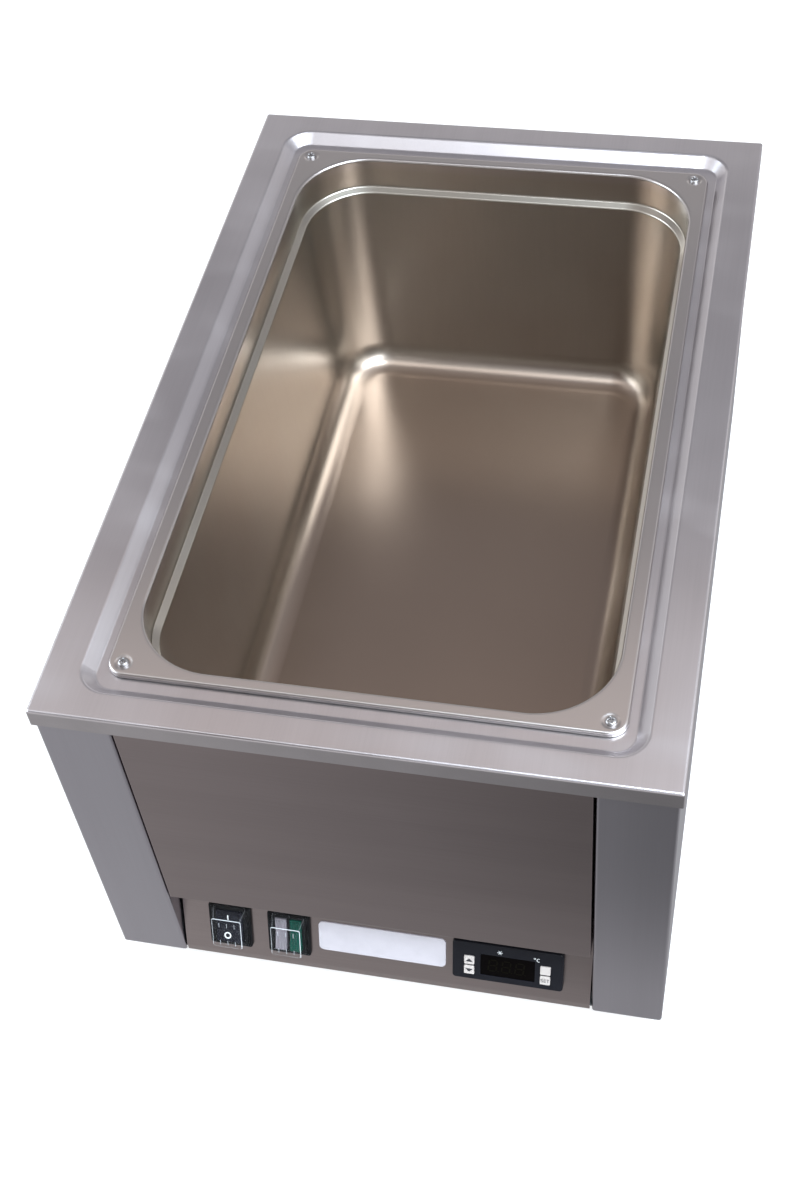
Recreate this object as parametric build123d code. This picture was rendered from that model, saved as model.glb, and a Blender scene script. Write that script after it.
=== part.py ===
from build123d import *
import os
from math import cos, radians, sin, tan

# Bench-top paraffin bath: a folded stainless casing round a deep pan, with a sloping control strip in front.
# Millimetres. +X is to the right as seen from the front, +Y to the rear, +Z up.
# The origin is on the surface that the bath stands on, under the middle of the casing.

# Pan, a gastronorm 1/1 container
pan_flange_width = 325.0
pan_flange_length = 530.0
pan_flange_radius = 12.0
pan_flange_lip = 3.4
pan_flange_edge_radius = 2.0
pan_border_side = 10.5
pan_border_end = 9.0
pan_mouth_radius = 53.0
pan_rim_radius = 2.2
pan_depth = 200.0
pan_sheet = 1.0
pan_ledge_depth = 26.0
pan_ledge_step = 5.0
pan_ledge_drop = 3.0
pan_ledge_radius = 1.8
pan_wall_draft = 13.5
pan_floor_corner_radius = 40.0
pan_floor_fillet = 22.0

# Screws at the corners of the pan's flange
pan_screw_inset_side = 10.5
pan_screw_inset_end = 9.5
pan_screw_shank_radius = 1.95
pan_screw_head_radius = 3.8
pan_screw_head_height = 2.2
pan_screw_length = 10.0
pan_screw_dimple_radius = 5.6
pan_screw_dimple_depth = 0.5
screw_clearance = 0.25
thread_clearance = 0.05
captive_nut_radius = 4.5
captive_nut_height = 4.0

# Top frame with its pressed recess
frame_sheet = 1.5
frame_above_flange = 3.5
frame_border_side = 24.0
frame_border_end = 20.5
frame_edge_radius = 2.0
frame_corner_radius = 1.2
apron_height = 14.0
recess_margin_side = 5.5
recess_margin_end = 9.5
recess_corner_radius = 12.0
recess_slope_width = 8.0
recess_top_radius = 3.0
recess_foot_radius = 2.0
lip_gap = 0.6
opening_gap = 1.5

# Folded casing panels
panel_sheet = 1.2
bend_radius = 1.0
body_overhang = 2.0
column_width = 49.0
column_return = 15.0
rear_return = 14.0
bottom_flange = 40.0
top_flange = 11.0
cross_flange = 18.0
base_sheet = 1.5
fit_gap = 0.3

# Front plate and sloping control strip
strip_height = 76.5
strip_lip = 8.0
strip_tilt = 18.0
strip_flange = 15.0
plate_gap = 1.5
plate_return = 10.0
plate_foot_flange = 12.0
plate_hook = 6.0
rivet_radius = 1.6
rivet_head_radius = 3.2
rivet_head_height = 1.0
rivet_spacing = 110.0

# Levels between the base and the pan
foot_height = 16.0
compartment_height = 53.6
stud_tail = 4.0
clamp_nut_height = 3.2
clamp_bar_sheet = 2.0
base_insulation_thickness = 20.0
spreader_sheet = 2.0
heater_thickness = 3.0

# Pieces under the pan
heater_margin_side = 14.5
heater_margin_end = 25.5
heater_corner_radius = 10.0
spreader_margin_side = 15.0
spreader_margin_end = 5.0
stud_radius = 2.0
stud_stand_off = 7.0
clamp_bar_width = 30.0
clamp_bar_overhang = 9.0
clamp_bar_spacing = 240.0
clamp_nut_flat = 7.0
bulb_radius = 3.0
bulb_gap = 8.0
probe_length = 40.0
overheat_bulb_length = 60.0
clip_width = 10.0
clip_sheet = 0.6
clip_foot = 6.0
clip_clearance = 0.02
slab_thickness = 28.0
slab_clearance = 4.0
slab_end_inset = 66.0

# Feet
foot_radius = 15.0
foot_top_radius = 17.0
foot_edge_radius = 1.5
foot_inset_side = 24.0
foot_inset_end = 31.0
foot_stud_radius = 3.0
foot_stud_depth = 8.0
foot_nut_flat = 10.0
foot_nut_height = 5.0
foot_stud_tail = 2.0

# Small pan-head screws of the case
case_screw_shank_radius = 1.45
case_screw_head_radius = 3.2
case_screw_head_height = 1.8
case_screw_length = 8.0
rear_screw_first = 44.0
rear_screw_pitch = 100.0
rear_screw_rows = 3
base_screw_spacing = 200.0

# Rocker switches
control_line = 28.0
main_switch_x = -112.0
twin_switch_x = -68.5
switch_frame_width = 31.0
switch_frame_height = 38.0
switch_frame_radius = 2.0
switch_frame_depth = 2.6
switch_frame_edge_radius = 0.6
switch_body_width = 21.6
switch_body_height = 31.2
switch_body_depth = 24.0
switch_wall = 0.9
switch_floor = 3.0
switch_rib = 1.6
switch_clip_depth = 1.2
switch_clip_length = 10.0
switch_clip_proud = 0.9
switch_clip_root = 0.2
cutout_clearance = 0.3
rocker_length = 27.0
rocker_side_gap = 0.4
rocker_angle = 7.0
rocker_edge_level = 5.2
rocker_pivot_depth = 2.0
rocker_skirt = 4.5
rocker_waist = 0.55
rocker_edge_radius = 0.5
pivot_radius = 1.5
pivot_clearance = 0.05
pivot_engagement = 0.6
hood_foot_width = 26.0
hood_foot_height = 34.5
hood_face_width = 21.5
hood_face_height = 26.0
hood_rise = 9.2
hood_wall = 0.8
hood_rim = 1.2
hood_edge_radius = 0.7
hood_corner_radius = 1.6
blade_width = 4.8
blade_thickness = 0.8
blade_length = 8.0
blade_spacing = 7.5

# Label plate
label_x = -1.0
label_lift = 1.5
label_width = 92.0
label_height = 27.0
label_radius = 4.0
label_thickness = 0.8
label_edge_radius = 0.3

# Digital temperature controller
controller_x = 89.5
controller_lift = 2.5
controller_width = 78.0
controller_height = 35.0
controller_radius = 2.5
controller_proud = 5.0
controller_front_wall = 2.0
controller_front_margin = 2.0
controller_edge_radius = 0.9
controller_case_width = 70.4
controller_case_height = 28.4
controller_case_depth = 50.0
controller_case_wall = 1.6
controller_case_radius = 1.2
controller_slot_count = 5
controller_slot_pitch = 8.0
controller_slot_width = 1.6
controller_slot_length = 22.0
controller_slot_depth = 24.0
window_width = 38.5
window_height = 20.0
window_x = 0.0
window_y = -1.9
window_depth = 0.4
window_lip = 1.5
window_lip_thickness = 1.0
window_clearance = 0.05
key_width = 7.2
key_height = 7.7
key_radius = 0.8
key_proud = 0.8
key_edge_radius = 0.4
key_clearance = 0.2
key_flange = 0.5
key_flange_thickness = 0.7
key_flange_radius = 1.0
key_travel = 0.8
key_stop_gap = 0.1
key_left_x = -27.0
key_right_x = 26.5
key_upper_y = 1.1
key_lower_y = -8.2
board_thickness = 1.6
board_level = -1.5
board_clearance = 0.6
key_switch_size = 5.0
key_plunger_radius = 1.2
key_plunger_height = 0.4
board_piece_spacing = 18.0
board_piece_size = (9.0, 14.0, 9.0)
display_width = 34.0
display_height = 15.0
display_depth = 1.2
controller_clip_length = 24.0
controller_clip_width = 9.0
controller_clip_thickness = 2.4
terminal_pitch = 5.08
terminal_count = 10
terminal_height = 10.0
terminal_depth = 9.0
terminal_screw_radius = 1.7
terminal_screw_recess = 1.4
terminal_hole_size = (3.2, 3.4, 2.0)
terminal_hole_drop = 1.0

# Pieces on the base plate
relay_side = 141.8
relay_y = 70.0
relay_size = (45.0, 58.0, 23.0)
relay_end_step = (13.0, 8.0)
relay_hole_spacing = 47.6
relay_edge_radius = 1.0
terminal_block_side = 86.8
terminal_block_y = 190.0
terminal_block_size = (62.0, 22.0, 18.0)
terminal_block_ways = 5
terminal_block_end = 10.0
terminal_block_foot = 4.0
terminal_block_barrier = 1.6
terminal_block_groove = 6.0
clamp_screw_radius = 2.6
clamp_screw_height = 3.4
thermostat_side = 13.0
thermostat_y = 170.0
thermostat_radius = 17.0
thermostat_height = 22.0
thermostat_edge_radius = 1.5
thermostat_rise = 3.0
thermostat_neck_radius = 3.0
thermostat_neck_length = 4.5
thermostat_blade_size = (6.3, 0.8, 9.0)
thermostat_blade_spacing = 16.0
bracket_sheet = 1.5
bracket_width = 44.0
bracket_height = 38.0
bracket_foot = 20.0
earth_side = 46.8
earth_y = 130.0
earth_stud_radius = 2.5
earth_stud_height = 18.0
earth_nut_flat = 8.0
earth_nut_height = 4.0
earth_ring_margin = 1.5
earth_ring_thickness = 1.0

# Mains inlet in the rear panel
inlet_side = 66.8
inlet_level = 58.0
inlet_flange_width = 50.0
inlet_flange_height = 23.0
inlet_flange_thickness = 2.4
inlet_flange_radius = 4.0
inlet_flange_edge_radius = 0.6
inlet_body_width = 28.0
inlet_body_height = 20.0
inlet_body_depth = 20.0
inlet_body_radius = 2.0
inlet_cavity_width = 24.6
inlet_cavity_height = 16.8
inlet_cavity_depth = 15.5
inlet_cavity_radius = 3.0
inlet_pin_spacing = 14.0
inlet_pin_drop = 2.0
inlet_earth_rise = 2.0
inlet_pin_size = (2.0, 4.0)
inlet_pin_length = 13.0
inlet_screw_spacing = 40.0
inlet_screw_shank_radius = 1.4
inlet_screw_head_radius = 2.56
inlet_screw_head_height = 0.7
inlet_screw_length = 7.0

# Vents in the rear panel
vent_count = 12
vent_pitch = 9.0
vent_width = 3.0
vent_height = 30.0
vent_x = -60.0
vent_level = 58.0

# Wiring
loom_radius = 2.4
loom_bend = 4.0
loom_lift = 0.5
loom_stub = 12.0
loom_drop_run = 26.0
loom_rows = (126.0, 114.0)
loom_rise_run = 6.0
loom_entry_run = 8.0
loom_entry_level = 8.0
lead_radius = 1.3
lead_bend = 5.0
lead_stub = 14.0
lead_drop_run = 6.0
lead_drop = 12.0
lead_entry_run = 16.0
lead_entry_depth = 2.0
lead_entry_level = 14.5
heater_lead_bend = 6.0
heater_lead_spacing = 12.0
heater_lead_swing = 10.0
heater_lead_level = 14.0
probe_swing = 24.0
probe_drop_run = 16.0
probe_drop = 30.0
probe_approach_run = 34.0
probe_approach_rise = 8.0
probe_stub = 14.0
capillary_radius = 0.8
capillary_bend = 7.0
capillary_swing = 36.0
capillary_drop_run = 20.0
capillary_drop = 8.0
capillary_stub = 24.0
capillary_approach_run = 10.0
capillary_approach_rise = 18.0

# Levels, from the surface upwards
body_bottom = foot_height
base_low = body_bottom + panel_sheet
base_top = base_low + base_sheet
stud_low = base_top + compartment_height
nut_low = stud_low + stud_tail
bar_low = nut_low + clamp_nut_height
insulation_low = bar_low + clamp_bar_sheet
spreader_low = insulation_low + base_insulation_thickness
heater_low = spreader_low + spreader_sheet
pan_low = heater_low + heater_thickness
flange_level = pan_low + pan_depth
frame_top = flange_level + frame_above_flange
recess_level = flange_level - pan_flange_lip - lip_gap
apron_low = frame_top - apron_height
strip_top = body_bottom + strip_height

# Plan sizes, from the pan outwards
mouth_width = pan_flange_width - 2 * pan_border_side
mouth_length = pan_flange_length - 2 * pan_border_end
floor_inset = pan_ledge_step + pan_wall_draft
heater_width = mouth_width - 2 * (floor_inset + pan_floor_fillet + heater_margin_side)
heater_length = mouth_length - 2 * (floor_inset + pan_floor_fillet + heater_margin_end)
thermostat_x = -heater_width / 2 - thermostat_side
recess_width = pan_flange_width + 2 * recess_margin_side
recess_length = pan_flange_length + 2 * recess_margin_end
frame_width = recess_width + 2 * recess_slope_width + 2 * frame_border_side
frame_length = recess_length + 2 * recess_slope_width + 2 * frame_border_end
body_x = frame_width / 2 - body_overhang
body_y = frame_length / 2 - body_overhang
wall_x = body_x - panel_sheet
wall_y = body_y - panel_sheet
column_inner_x = body_x - column_width
plate_x = column_inner_x - plate_gap
relay_x = wall_x - relay_side
terminal_block_x = wall_x - terminal_block_side
earth_x = wall_x - earth_side
inlet_x = wall_x - inlet_side
pan_screw_x = pan_flange_width / 2 - pan_screw_inset_side
pan_screw_y = pan_flange_length / 2 - pan_screw_inset_end

# The sloping strip's outer face: from the top of its lip to the foot of the front plate
slope_low = body_bottom + strip_lip
slope_run = (strip_top - slope_low) * tan(radians(strip_tilt))
slope_top_y = -body_y + slope_run
control_y = -body_y + control_line * sin(radians(strip_tilt))
control_z = slope_low + control_line * cos(radians(strip_tilt))
strip_normal = Vector(0, -cos(radians(strip_tilt)), sin(radians(strip_tilt)))
strip_face = Plane(origin=(0, control_y, control_z), x_dir=(1, 0, 0), z_dir=strip_normal)
rear_face = Plane(origin=(inlet_x, wall_y, inlet_level), x_dir=(-1, 0, 0), z_dir=(0, 1, 0))


def block(low, high):
    """A box between two opposite corners."""
    size = [b - a for a, b in zip(low, high)]
    centre = [(a + b) / 2 for a, b in zip(low, high)]
    return Pos(*centre) * Box(*size)


def corners(x, y):
    """The four places at plus and minus x and y."""
    return [(side * x, end * y) for side in (-1, 1) for end in (-1, 1)]


def rounded_slab(width, length, radius, low, high):
    """An upright slab with rounded corners in plan, between two levels."""
    return Pos(0, 0, low) * extrude(RectangleRounded(width, length, radius), high - low)


def tapered_slab(lower, upper):
    """A slab between two rounded outlines, each given as width, length, radius and level."""
    outlines = [Pos(0, 0, level) * RectangleRounded(w, l, r) for w, l, r, level in (lower, upper)]
    return loft(outlines, ruled=True)


def edges_at(solid, level, reach=0.01):
    """The level edges of a solid that lie in one horizontal plane."""
    near = solid.edges().filter_by_position(Axis.Z, level - reach, level + reach)
    return [edge for edge in near if edge.bounding_box().size.Z < reach]


def edges_inside(edges, half_width, half_length):
    """The edges whose middles lie within a rectangle about the origin."""
    kept = []
    for edge in edges:
        middle = edge.center()
        if abs(middle.X) < half_width and abs(middle.Y) < half_length:
            kept.append(edge)
    return kept


def sheet_corner(before, corner, after, thickness):
    """The inner corner of a folded sheet, on the left of its outer face."""
    first = (corner - before).normalized()
    second = (after - corner).normalized()
    left_first = Vector(-first.Y, first.X)
    left_second = Vector(-second.Y, second.X)
    mitre = (left_first + left_second).normalized()
    return corner + mitre * (thickness / mitre.dot(left_first))


def folded_sheet(points, thickness):
    """The section of a folded sheet: its outer face follows the points, and its metal lies on their left."""
    outer = [Vector(*point) for point in points]
    start = (outer[1] - outer[0]).normalized()
    finish = (outer[-1] - outer[-2]).normalized()
    inner = [outer[0] + Vector(-start.Y, start.X) * thickness]
    for before, corner, after in zip(outer, outer[1:], outer[2:]):
        inner.append(sheet_corner(before, corner, after, thickness))
    inner.append(outer[-1] + Vector(-finish.Y, finish.X) * thickness)
    section = make_face(Polyline(*outer, *reversed(inner), close=True))
    for index in range(1, len(outer) - 1):
        first = outer[index] - outer[index - 1]
        second = outer[index + 1] - outer[index]
        turns_left = first.X * second.Y - first.Y * second.X > 0
        convex, concave = (outer[index], inner[index]) if turns_left else (inner[index], outer[index])
        for place, radius in ((convex, bend_radius + thickness), (concave, bend_radius)):
            vertex = min(section.vertices(), key=lambda v: (Vector(v) - place).length)
            section = fillet(vertex, radius)
    return section


def across(section, half_width):
    """A section drawn in Y and Z, drawn out to both sides along X."""
    return extrude(Plane.YZ * section, half_width, both=True)


def drilled(solid, places, radius, low, high):
    """A solid with upright round holes."""
    for x, y in places:
        solid -= Pos(x, y, (low + high) / 2) * Cylinder(radius, high - low)
    return solid


def pan_head_screw(shank_radius, head_radius, head_height, length):
    """A cross-recessed pan-head screw that points down, with its head's underside at the origin."""
    head = Pos(0, 0, head_height / 2) * Cylinder(head_radius, head_height)
    head = fillet(edges_at(head, head_height), head_height * 0.6)
    recess_reach = head_radius * 1.1
    recess_width = head_radius * 0.26
    recess_depth = head_height * 0.55
    for turn in (0, 90):
        slot = Box(recess_reach, recess_width, 2 * recess_depth)
        head -= Pos(0, 0, head_height) * Rot(0, 0, turn) * slot
    shank = Pos(0, 0, -length / 2) * Cylinder(shank_radius, length)
    return head + shank


def case_screw():
    """The small screw that holds the panels and the pieces on the base."""
    return pan_head_screw(
        case_screw_shank_radius, case_screw_head_radius, case_screw_head_height, case_screw_length
    )


def hex_nut(flat, height, bore_radius):
    """A hexagon nut that stands on the origin."""
    nut = extrude(RegularPolygon(flat / 2, 6, major_radius=False), height)
    return nut - Pos(0, 0, height / 2) * Cylinder(bore_radius, height)


def wire_run(points, radius, bend):
    """A round wire along straight runs joined by arcs."""
    path = FilletPolyline(*points, radius=bend)
    section = Plane(origin=path @ 0, z_dir=path % 0) * Circle(radius)
    return sweep(section, path=path)


def group(solids):
    """Separate solids that share one node."""
    loose = []
    for solid in solids:
        loose.extend(solid.solids())
    return Compound(children=loose)


# Pan

def pan_outline(shrink, skin):
    """Width, length and corner radius of the pan's section, drawn in from its mouth and out by its skin."""
    return (
        mouth_width - 2 * shrink + 2 * skin,
        mouth_length - 2 * shrink + 2 * skin,
        pan_mouth_radius - shrink + skin,
    )


def pan_form(skin, top):
    """The pan's inside, or with a skin its outside, up to a level."""
    ledge_high = flange_level - pan_ledge_depth - skin
    ledge_low = ledge_high - pan_ledge_drop
    floor_level = pan_low + pan_sheet - skin
    floor_outline = pan_outline(floor_inset, skin)[:2] + (pan_floor_corner_radius + skin,)
    mouth = rounded_slab(*pan_outline(0, skin), ledge_high, top)
    waist = pan_outline(pan_ledge_step, skin) + (ledge_low,)
    ledge = tapered_slab(waist, pan_outline(0, skin) + (ledge_high,))
    lower = tapered_slab(floor_outline + (floor_level,), waist)
    form = mouth + ledge + lower
    form = fillet(edges_at(form, floor_level), pan_floor_fillet + skin)
    form = fillet(edges_at(form, ledge_high), pan_ledge_radius)
    return fillet(edges_at(form, ledge_low), pan_ledge_radius)


def clamp_stud_places():
    """Where the studs stand under the pan."""
    return corners(heater_width / 2 + stud_stand_off, clamp_bar_spacing / 2)


def make_pan():
    """The deep drawn pan with its flange, rolled rim, ledge and the studs under its floor."""
    lip_low = flange_level - pan_flange_lip
    flange = rounded_slab(pan_flange_width, pan_flange_length, pan_flange_radius, lip_low, flange_level)
    flange = fillet(edges_at(flange, flange_level), pan_flange_edge_radius)
    hollow = rounded_slab(
        pan_flange_width - 2 * pan_sheet,
        pan_flange_length - 2 * pan_sheet,
        pan_flange_radius - pan_sheet,
        lip_low,
        flange_level - pan_sheet,
    )
    hollow = fillet(edges_at(hollow, flange_level - pan_sheet), pan_flange_edge_radius - pan_sheet)
    pan = flange - hollow + pan_form(pan_sheet, flange_level - pan_sheet / 2)
    reach = 2 * pan_sheet
    under_rim = edges_at(pan, flange_level - pan_sheet)
    under_rim = edges_inside(under_rim, mouth_width / 2 + reach, mouth_length / 2 + reach)
    pan = fillet(under_rim, pan_rim_radius - pan_sheet)
    pan -= pan_form(0, flange_level + pan_sheet)
    rim = edges_inside(edges_at(pan, flange_level), mouth_width / 2 + reach, mouth_length / 2 + reach)
    pan = fillet(rim, pan_rim_radius)
    for x, y in corners(pan_screw_x, pan_screw_y):
        depth = pan_screw_dimple_depth
        dimple = Cone(pan_screw_dimple_radius - depth, pan_screw_dimple_radius, depth)
        pan -= Pos(x, y, flange_level - depth / 2) * dimple
    pan = drilled(
        pan,
        corners(pan_screw_x, pan_screw_y),
        pan_screw_shank_radius + screw_clearance,
        flange_level - 2 * pan_sheet,
        flange_level,
    )
    stud_high = pan_low + pan_sheet / 2
    for x, y in clamp_stud_places():
        pan += Pos(x, y, (stud_low + stud_high) / 2) * Cylinder(stud_radius, stud_high - stud_low)
    return pan


def opening_outline():
    """Width, length and corner radius of the opening in the recess."""
    gap = pan_sheet + opening_gap
    return mouth_width + 2 * gap, mouth_length + 2 * gap, pan_mouth_radius + gap


def make_gasket():
    """The flat silicone ring between the pan's flange and the recess."""
    high = flange_level - pan_sheet
    shrink = pan_flange_edge_radius + fit_gap
    width = pan_flange_width - 2 * shrink
    length = pan_flange_length - 2 * shrink
    ring = rounded_slab(width, length, pan_flange_radius - shrink, recess_level, high)
    ring -= rounded_slab(*opening_outline(), recess_level, high)
    hole_radius = pan_screw_shank_radius + 2 * screw_clearance
    return drilled(ring, corners(pan_screw_x, pan_screw_y), hole_radius, recess_level, high)


def make_pan_screws():
    """The four screws in the corners of the pan's flange."""
    level = flange_level - pan_screw_dimple_depth
    screw = pan_head_screw(
        pan_screw_shank_radius, pan_screw_head_radius, pan_screw_head_height, pan_screw_length
    )
    turns = (12, -20, 35, 5)
    places = corners(pan_screw_x, pan_screw_y)
    return group([Pos(x, y, level) * Rot(0, 0, turn) * screw for (x, y), turn in zip(places, turns)])


def make_captive_nuts():
    """Round captive nuts under the recess, one for each pan screw."""
    low = recess_level - frame_sheet - captive_nut_height
    nut = Cylinder(captive_nut_radius, captive_nut_height)
    nut -= Cylinder(pan_screw_shank_radius + thread_clearance, captive_nut_height)
    middle = low + captive_nut_height / 2
    return group([Pos(x, y, middle) * nut for x, y in corners(pan_screw_x, pan_screw_y)])


# Casing

def recess_outline(grow):
    """Width, length and corner radius of the recess's floor, drawn out by a distance."""
    return recess_width + 2 * grow, recess_length + 2 * grow, recess_corner_radius + grow


def make_top_frame():
    """The top frame: a flat border with a short apron, and the pressed recess that carries the pan."""
    frame = rounded_slab(frame_width, frame_length, frame_corner_radius, apron_low, frame_top)
    frame = fillet(edges_at(frame, frame_top), frame_edge_radius)
    hollow = block(
        (-frame_width / 2 + frame_sheet, -frame_length / 2 + frame_sheet, apron_low),
        (frame_width / 2 - frame_sheet, frame_length / 2 - frame_sheet, frame_top - frame_sheet),
    )
    frame -= fillet(edges_at(hollow, frame_top - frame_sheet), frame_edge_radius - frame_sheet)
    tray_low = recess_outline(frame_sheet) + (recess_level - frame_sheet,)
    tray_high = recess_outline(recess_slope_width + frame_sheet) + (frame_top - frame_sheet / 2,)
    frame += tapered_slab(tray_low, tray_high)
    mouth = recess_outline(recess_slope_width)
    frame -= tapered_slab(recess_outline(0) + (recess_level,), mouth + (frame_top,))
    mouth_edges = edges_inside(
        edges_at(frame, frame_top), mouth[0] / 2 + frame_sheet, mouth[1] / 2 + frame_sheet
    )
    frame = fillet(mouth_edges, recess_top_radius)
    frame = fillet(edges_at(frame, recess_level), recess_foot_radius)
    frame -= rounded_slab(*opening_outline(), recess_level - 2 * frame_sheet, frame_top)
    hole_radius = pan_screw_shank_radius + screw_clearance
    low = recess_level - 2 * frame_sheet
    return drilled(frame, corners(pan_screw_x, pan_screw_y), hole_radius, low, frame_top)


def rear_screw_heights():
    """Levels of the rear panel's screws."""
    return [body_bottom + rear_screw_first + row * rear_screw_pitch for row in range(rear_screw_rows)]


def make_side_panel():
    """The left side panel: its wall, the front column with its return, and the flanges round it."""
    panel_top = frame_top - frame_sheet
    outline = [
        (-body_x + rear_return, body_y),
        (-body_x, body_y),
        (-body_x, -body_y),
        (-column_inner_x, -body_y),
        (-column_inner_x, -body_y + column_return),
    ]
    panel = Pos(0, 0, body_bottom) * extrude(folded_sheet(outline, panel_sheet), panel_top - body_bottom)
    margin = 2 * panel_sheet
    panel -= block(
        (-column_inner_x - margin, -wall_y + fit_gap, body_bottom),
        (-column_inner_x + margin, -body_y + column_return + margin, base_top + fit_gap),
    )
    panel += block(
        (-body_x + panel_sheet / 2, -body_y + panel_sheet / 2, body_bottom),
        (-body_x + bottom_flange, body_y - panel_sheet / 2, base_low),
    )
    panel += block(
        (-body_x + panel_sheet / 2, -wall_y, panel_top - panel_sheet),
        (-body_x + top_flange, wall_y, panel_top),
    )
    foot_holes = [(-body_x + foot_inset_side, end * (body_y - foot_inset_end)) for end in (-1, 1)]
    panel = drilled(panel, foot_holes, foot_stud_radius + screw_clearance, body_bottom, base_low)
    for level in rear_screw_heights():
        hole = Cylinder(case_screw_shank_radius + screw_clearance, 2 * panel_sheet)
        panel -= Pos(-body_x + rear_return / 2, wall_y, level) * Rot(90, 0, 0) * hole
    return panel


def make_front_plate():
    """The front plate, with its side returns and a foot that folds back to the control strip."""
    plate_high = apron_low + plate_hook
    outline = [
        (-body_y, plate_high),
        (-body_y, strip_top),
        (slope_top_y, strip_top),
        (slope_top_y, strip_top + plate_foot_flange),
    ]
    plate = across(folded_sheet(outline, panel_sheet), plate_x)
    for side in (-1, 1):
        inner_x = side * (plate_x - panel_sheet)
        low_x, high_x = sorted((inner_x, side * plate_x))
        plate += block(
            (low_x, -body_y + panel_sheet / 2, strip_top + panel_sheet / 2),
            (high_x, -body_y + plate_return, plate_high),
        )
    for x in rivet_places():
        hole = Cylinder(rivet_radius + fit_gap / 2, 4 * panel_sheet)
        plate -= Pos(x, slope_top_y, rivet_level()) * Rot(90, 0, 0) * hole
    return plate


def rivet_places():
    """Places of the front plate's rivets along X."""
    return [-rivet_spacing, 0, rivet_spacing]


def rivet_level():
    """Height of the front plate's rivets."""
    return strip_top + plate_foot_flange - 1.4 * rivet_head_radius


def make_rivets():
    """Blind rivets through the foot of the front plate and the strip's flange."""
    grip = 2 * panel_sheet
    shank = Cylinder(rivet_radius, grip)
    head = Pos(0, 0, (grip + rivet_head_height) / 2) * Cylinder(rivet_head_radius, rivet_head_height)
    tail = Pos(0, 0, -(grip + rivet_head_height) / 2) * Cylinder(rivet_head_radius * 0.8, rivet_head_height)
    rivet = shank + head + tail
    return group([Pos(x, slope_top_y, rivet_level()) * Rot(90, 0, 0) * rivet for x in rivet_places()])


def strip_cutout(x, y, width, height):
    """A rectangular hole in the strip, given on its outer face."""
    return strip_face * Pos(x, y, 0) * Box(width, height, 8 * panel_sheet)


def make_control_strip():
    """The sloping control strip, from its upper flange to its bottom lip, with its cut-outs."""
    outline = [
        (slope_top_y, strip_top + strip_flange),
        (slope_top_y, strip_top),
        (-body_y, slope_low),
        (-body_y, body_bottom),
        (-body_y + cross_flange, body_bottom),
    ]
    strip = across(folded_sheet(outline, panel_sheet), plate_x)
    for x in (main_switch_x, twin_switch_x):
        strip -= strip_cutout(
            x, 0, switch_body_width + 2 * cutout_clearance, switch_body_height + 2 * cutout_clearance
        )
    strip -= strip_cutout(
        controller_x,
        controller_lift,
        controller_case_width + 2 * cutout_clearance,
        controller_case_height + 2 * cutout_clearance,
    )
    for x in rivet_places():
        hole = Cylinder(rivet_radius + fit_gap / 2, 4 * panel_sheet)
        strip -= Pos(x, slope_top_y, rivet_level()) * Rot(90, 0, 0) * hole
    hole_radius = case_screw_shank_radius + screw_clearance
    return drilled(strip, base_screw_places()[:2], hole_radius, body_bottom, base_low)


def base_screw_places():
    """Screws that hold the base plate: two in the strip's flange and two in the rear panel's."""
    reach = body_y - 0.6 * cross_flange
    return [(side * base_screw_spacing / 2, end * reach) for end in (-1, 1) for side in (-1, 1)]


def make_rear_panel():
    """The rear panel, with a flange under the base plate, vents and the hole of the mains inlet."""
    panel_high = frame_top - frame_sheet - panel_sheet - fit_gap
    flange_x = body_x - bottom_flange - plate_gap
    outline = [(wall_y - cross_flange, body_bottom), (wall_y, body_bottom), (wall_y, strip_top)]
    panel = across(folded_sheet(outline, panel_sheet), flange_x)
    reach_x = wall_x - bend_radius - fit_gap
    panel += block((-reach_x, wall_y - panel_sheet, base_low + fit_gap), (reach_x, wall_y, panel_high))
    first_x = vent_x - (vent_count - 1) * vent_pitch / 2
    for index in range(vent_count):
        slot = extrude(SlotOverall(vent_height, vent_width, rotation=90), 2 * panel_sheet, both=True)
        panel -= Pos(first_x + index * vent_pitch, wall_y, vent_level) * Rot(90, 0, 0) * slot
    panel -= Pos(inlet_x, wall_y, inlet_level) * Box(
        inlet_body_width + 2 * cutout_clearance, 4 * panel_sheet, inlet_body_height + 2 * cutout_clearance
    )
    for side in (-1, 1):
        hole = Cylinder(inlet_screw_shank_radius + screw_clearance, 4 * panel_sheet)
        panel -= Pos(inlet_x + side * inlet_screw_spacing / 2, wall_y, inlet_level) * Rot(90, 0, 0) * hole
        for level in rear_screw_heights():
            hole = Cylinder(case_screw_shank_radius + thread_clearance, 4 * panel_sheet)
            panel -= Pos(side * (body_x - rear_return / 2), wall_y, level) * Rot(90, 0, 0) * hole
    hole_radius = case_screw_shank_radius + screw_clearance
    return drilled(panel, base_screw_places()[2:], hole_radius, body_bottom, base_low)


def make_base_plate():
    """The base plate, which lies on the flanges of the panels round it."""
    reach_x = wall_x - fit_gap
    front = -wall_y + bend_radius + fit_gap
    rear = wall_y - panel_sheet - bend_radius - fit_gap
    plate = block((-reach_x, front, base_low), (reach_x, rear, base_top))
    plate = drilled(plate, foot_places(), foot_stud_radius + screw_clearance, base_low, base_top)
    holes = base_screw_places() + board_screw_places()
    return drilled(plate, holes, case_screw_shank_radius + thread_clearance, base_low, base_top)


def foot_places():
    """Where the feet stand."""
    return corners(body_x - foot_inset_side, body_y - foot_inset_end)


def make_feet():
    """Four rubber feet with a blind hole for their stud."""
    foot = Pos(0, 0, foot_height / 2) * Cone(foot_radius, foot_top_radius, foot_height)
    foot = fillet(edges_at(foot, 0), foot_edge_radius)
    hole_low = foot_height - foot_stud_depth
    foot -= Pos(0, 0, (hole_low + foot_height) / 2) * Cylinder(foot_stud_radius, foot_stud_depth)
    return group([Pos(x, y, 0) * foot for x, y in foot_places()])


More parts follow.
